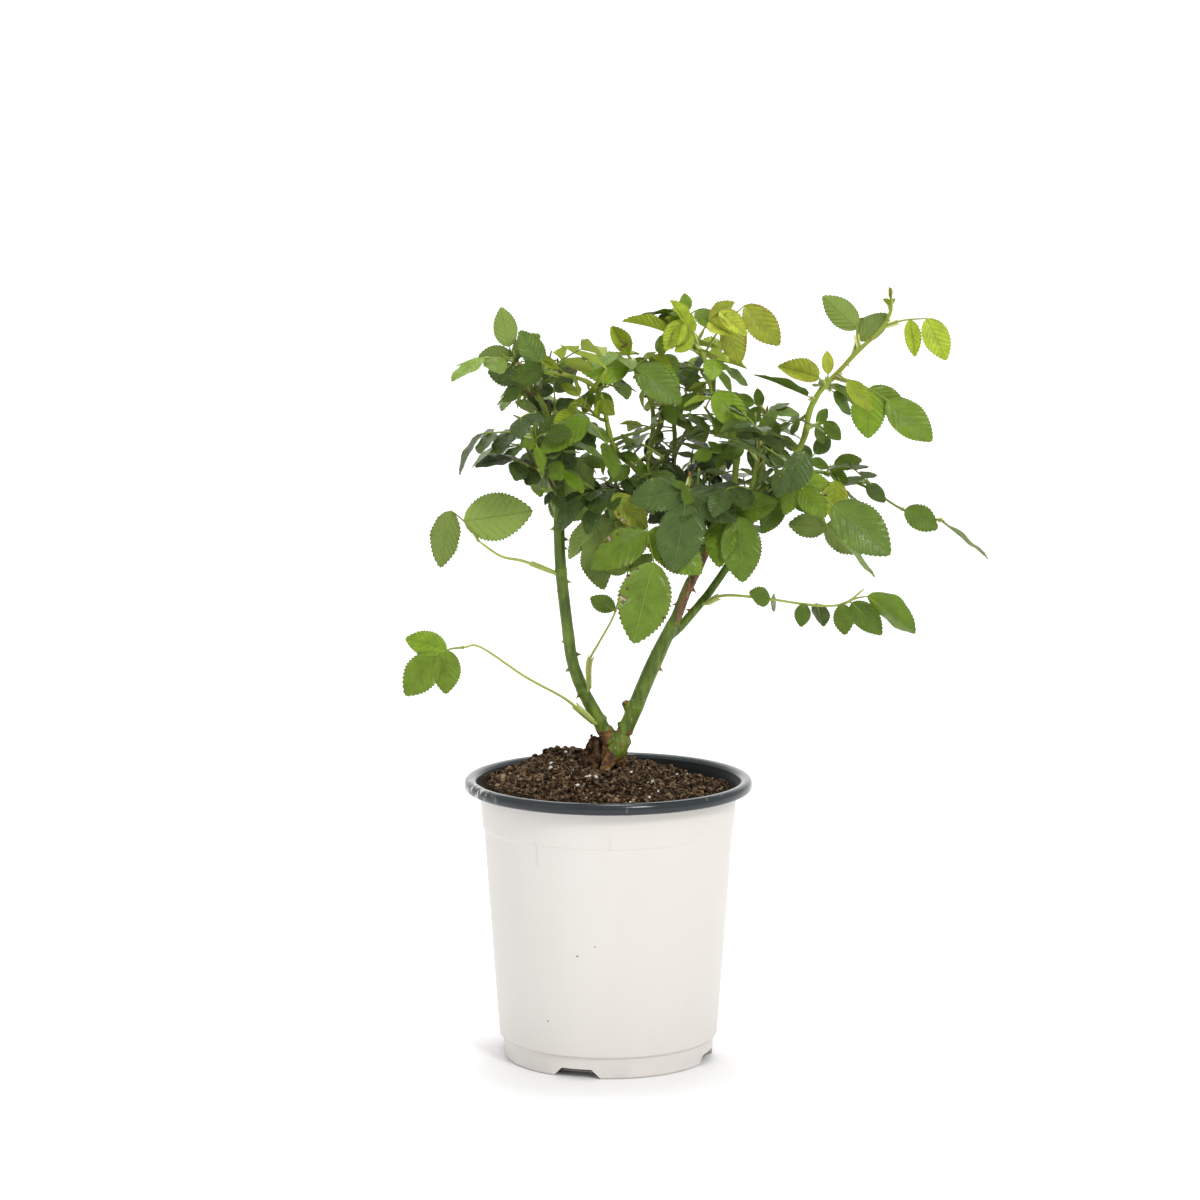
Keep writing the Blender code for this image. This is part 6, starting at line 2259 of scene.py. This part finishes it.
@dataclass
class PottingMix:
    """The top of the mix: a crumbled skin under loose crumbs, bark, fibres and perlite."""

    radius: float = 51.6
    rings: int = 72
    sides: int = 288
    seed: int = 21
    crumbs: int = 4200
    slivers: int = 420
    fibres: int = 1150
    grains: int = 85

    def reach_at(self, heading: float) -> float:
        """How far out the mix goes at a heading, against the liner."""
        return self.radius - 0.25 + 0.10 * (edge_height(heading) - 111.0) * 0.5

    def top(self, x: float, y: float) -> float:
        """The crumbled top's height at a place, in millimetres."""
        spot = Vector((x, y, 0.0))
        rough = (1.0 * noise.noise(spot * 0.26) + 1.15 * noise.noise(spot * 0.55)
                 + 0.55 * noise.noise(spot * 1.4))
        return mix_height(x, y) + 0.45 + rough

    def surface(self) -> Piece:
        """The crumbled skin: a fine turned disc whose points take the mix's height."""
        section = [(self.radius, 110.0), (self.radius, 112.0)]
        section += [(self.radius * (1.0 - i / self.rings), 112.0) for i in range(1, self.rings)]
        made = lathe("mix_surface", section + [(0.0, 112.0)], self.sides, False)
        edit_all()
        bpy.ops.mesh.fill_holes(sides=0)
        bpy.ops.mesh.normals_make_consistent(inside=False)
        bpy.ops.object.mode_set(mode="OBJECT")
        for vert in made.data.vertices:
            x, y = vert.co.x / MM, vert.co.y / MM
            away = math.hypot(x, y)
            heading = math.degrees(math.atan2(y, x))
            if vert.co.z > 0.111:
                vert.co.z = self.top(x, y) * MM
            else:
                vert.co.z = (edge_height(heading) - 2.5) * MM
            if away > self.radius - 0.1:
                gain = self.reach_at(heading) / away
                vert.co.x *= gain
                vert.co.y *= gain
        made.data.shade_smooth()
        return made

    def spot(self, dice: Dice, inset: float = 1.0) -> tuple[float, float]:
        """A random place on the mix, clear of the crown and the pot."""
        while True:
            angle = dice.uniform(0, math.tau)
            away = (self.radius - inset) * math.sqrt(dice.random())
            x, y = away * math.cos(angle), away * math.sin(angle)
            if math.hypot(x + 0.5, y - 1.5) > 6.0 and math.hypot(x + 9.0, y - 8.0) > 3.5:
                return x, y

    def lump(self, sheaf: Sheaf, size: float, flat: float, long: float,
             dice: Dice, rise: float = 0.15) -> None:
        """Add an uneven lump lying on the mix.

        Args:
            sheaf: The sheaf that it joins.
            size: Its half breadth.
            flat: Its height against its breadth.
            long: Its length against its breadth.
            dice: The seeded draws.
            rise: How far it stands up, against its size.
        """
        x, y = self.spot(dice, 1.0 + size)
        turn = (Matrix.Rotation(dice.uniform(0, FULL_TURN), 3, "Z")
                @ Matrix.Rotation(dice.uniform(-0.7, 0.7), 3, "X")
                @ Matrix.Rotation(dice.uniform(-0.7, 0.7), 3, "Y"))
        middle = Vector((x, y, self.top(x, y) + size * rise))
        rings = [Vector((0, 0, -1))]
        for height, wide in ((-0.45, 0.85), (0.45, 0.85)):
            for k in range(5):
                angle = math.tau * (k + (0.5 if height > 0 else 0.0)) / 5
                rings.append(Vector((wide * math.cos(angle), wide * math.sin(angle), height)))
        rings.append(Vector((0, 0, 1)))
        faces = []
        for k in range(5):
            a, b = 1 + k, 1 + (k + 1) % 5
            c, d = 6 + k, 6 + (k + 1) % 5
            faces += [(0, b, a), (a, b, c), (b, d, c), (11, c, d)]
        points = []
        for ring in rings:
            own = Vector((ring.x * long, ring.y, ring.z * flat)) * (size * dice.uniform(0.72, 1.22))
            points.append((middle + turn @ own)[:])
        sheaf.add(np.array(points), faces)

    def fibre(self, sheaf: Sheaf, dice: Dice) -> None:
        """Add a curled fibre, its ends sunk in the mix."""
        x, y = self.spot(dice, 3.0)
        heading, curl = dice.uniform(0, FULL_TURN), dice.uniform(-0.55, 0.55)
        length, count = dice.uniform(1.8, 6.5), 6
        points = []
        for i in range(count + 1):
            t = i / count
            hump = math.sin(math.pi * t) * length * dice.uniform(0.06, 0.20)
            points.append(Vector((x, y, self.top(x, y) + hump - 0.12)))
            x += math.cos(heading) * length / count
            y += math.sin(heading) * length / count
            heading += curl
        if math.hypot(x, y) < self.radius - 1.0:
            thick = dice.uniform(0.07, 0.24)
            sheaf.tube(points, [thick * (0.6 + 0.4 * math.sin(math.pi * i / count))
                                for i in range(count + 1)], 4)

    def build(self) -> None:
        """Make the skin and the loose bits, and dress the solid under them."""
        ride(self.surface(), MIX_TOP, "potting_mix")
        dice = Dice(self.seed)
        sheaves = {name: Sheaf() for name in BIT_FINISHES}
        for number in range(self.crumbs):
            kind = "dark_crumbs" if number % 3 else "brown_crumbs"
            self.lump(sheaves[kind], 0.30 + 1.25 * dice.random() ** 2.8, 0.80, 1.25, dice, 0.25)
        for _ in range(self.slivers):
            self.lump(sheaves["bark_slivers"], dice.uniform(0.30, 0.90), 0.40,
                      dice.uniform(1.5, 3.2), dice, 0.40)
        for _ in range(self.slivers // 4):
            self.lump(sheaves["tan_slivers"], dice.uniform(0.25, 0.6), 0.35,
                      dice.uniform(1.6, 3.0), dice, 0.5)
        for _ in range(self.fibres):
            self.fibre(sheaves["peat_fibres"], dice)
        for _ in range(self.grains):
            self.lump(sheaves["perlite_grains"], 0.22 + 0.85 * dice.random() ** 2.6, 0.85, 1.1,
                      dice, 0.5)
        for name, finish in BIT_FINISHES.items():
            ride(sheaves[name].piece(name, 50.0), finish, "potting_mix")
        paint(frame["nodes"]["potting_mix"], MIX_BODY)


# Stage


@dataclass
class Studio:
    """The pale floor, swept up behind, the soft lights and the camera."""

    eye: Place = (-0.0035, -1.6, 0.4224)
    down: float = 8.185
    view_angle: float = 17.486
    floor_size: float = 6.0
    sweep: float = 1.2
    world: float = 0.80
    lamps: tuple = (("key_light", (0.9, -1.7, 1.5), (0.02, 0.0, 0.17), 0.6, 22.0),
                    ("fill_light", (-1.6, -1.4, 0.9), (0.02, 0.0, 0.17), 1.2, 1.8),
                    ("top_light", (0.1, 0.3, 2.0), (0.02, 0.0, 0.17), 0.7, 17.0),
                    ("backdrop_light", (0.0, 1.4, 2.2), (0.0, 3.0, 0.9), 1.6, 34.0))

    def floor(self) -> None:
        """The floor, just under the pot's foot, with its back edge swept up."""
        bpy.ops.object.select_all(action="DESELECT")
        bpy.ops.mesh.primitive_plane_add(size=self.floor_size, location=(0, 0, -0.0002))
        floor = bpy.context.object
        floor.name = "studio_floor"
        bpy.ops.object.transform_apply(location=True, rotation=True, scale=True)
        bpy.ops.object.mode_set(mode="EDIT")
        bpy.ops.mesh.select_mode(type="EDGE")
        bpy.ops.mesh.select_all(action="DESELECT")
        bpy.ops.object.mode_set(mode="OBJECT")
        for edge in floor.data.edges:
            ends = [floor.data.vertices[k].co.y for k in edge.vertices]
            edge.select = min(ends) > self.floor_size * 0.4
        bpy.ops.object.mode_set(mode="EDIT")
        bpy.ops.mesh.extrude_region_move(TRANSFORM_OT_translate={"value": (0, 0, 3.5)})
        bpy.ops.mesh.select_all(action="DESELECT")
        bpy.ops.object.mode_set(mode="OBJECT")
        for edge in floor.data.edges:
            ends = [floor.data.vertices[k].co for k in edge.vertices]
            edge.select = min(e.y for e in ends) > 1.0 and max(e.z for e in ends) < 0.1
        bpy.ops.object.mode_set(mode="EDIT")
        bpy.ops.mesh.bevel(offset=self.sweep, segments=24, affect="EDGES")
        bpy.ops.object.mode_set(mode="OBJECT")
        floor.data.shade_smooth()
        bench = Bench("studio_floor_paint")
        cloud = bench.noise(bench.place(), 3.0, 2.0)
        white = bench.mix(cloud * 0.2, (0.90, 0.90, 0.90), (0.88, 0.88, 0.88))
        floor.data.materials.append(bench.finish(white, 0.75))

    def light(self) -> None:
        """The lamps and the pale surroundings."""
        for name, where, target, size, power in self.lamps:
            toward = Vector(target) - Vector(where)
            turn = toward.to_track_quat("-Z", "Y").to_euler()
            bpy.ops.object.light_add(type="AREA", location=where, rotation=turn)
            lamp = bpy.context.object
            lamp.name = name
            lamp.data.shape = "DISK"
            lamp.data.size = size
            lamp.data.energy = power
        world = bpy.data.worlds.new("pale_surroundings")
        bpy.context.scene.world = world
        world.use_nodes = True
        world.node_tree.nodes["Background"].inputs["Color"].default_value = (1.0, 1.0, 1.0, 1.0)
        world.node_tree.nodes["Background"].inputs["Strength"].default_value = self.world

    def shoot(self) -> None:
        """The camera, and plain colour handling."""
        turn = (math.radians(90.0 - self.down), 0.0, 0.0)
        bpy.ops.object.camera_add(location=self.eye, rotation=turn)
        camera = bpy.context.object
        camera.name = "front_camera"
        camera.data.sensor_fit = "HORIZONTAL"
        camera.data.angle = math.radians(self.view_angle)
        bpy.context.scene.camera = camera
        bpy.context.scene.view_settings.view_transform = "Standard"

    def build(self) -> None:
        """Set the stage."""
        self.floor()
        self.light()
        self.shoot()


def main() -> None:
    """Build the stage, the pot, the mix and the bush, and report each piece."""
    logging.basicConfig(level=logging.INFO, format="%(message)s")
    Studio().build()
    NurseryPot().build()
    PottingMix().build()
    growth = Growth()
    growth.everything()
    LOG.info("leaves: %d, leaflets: %d", len(growth.sprays),
             sum(len(spray.blades) for spray in growth.sprays))
    Wood(growth).build()
    Foliage(growth).build()


if __name__ == "__main__":
    main()
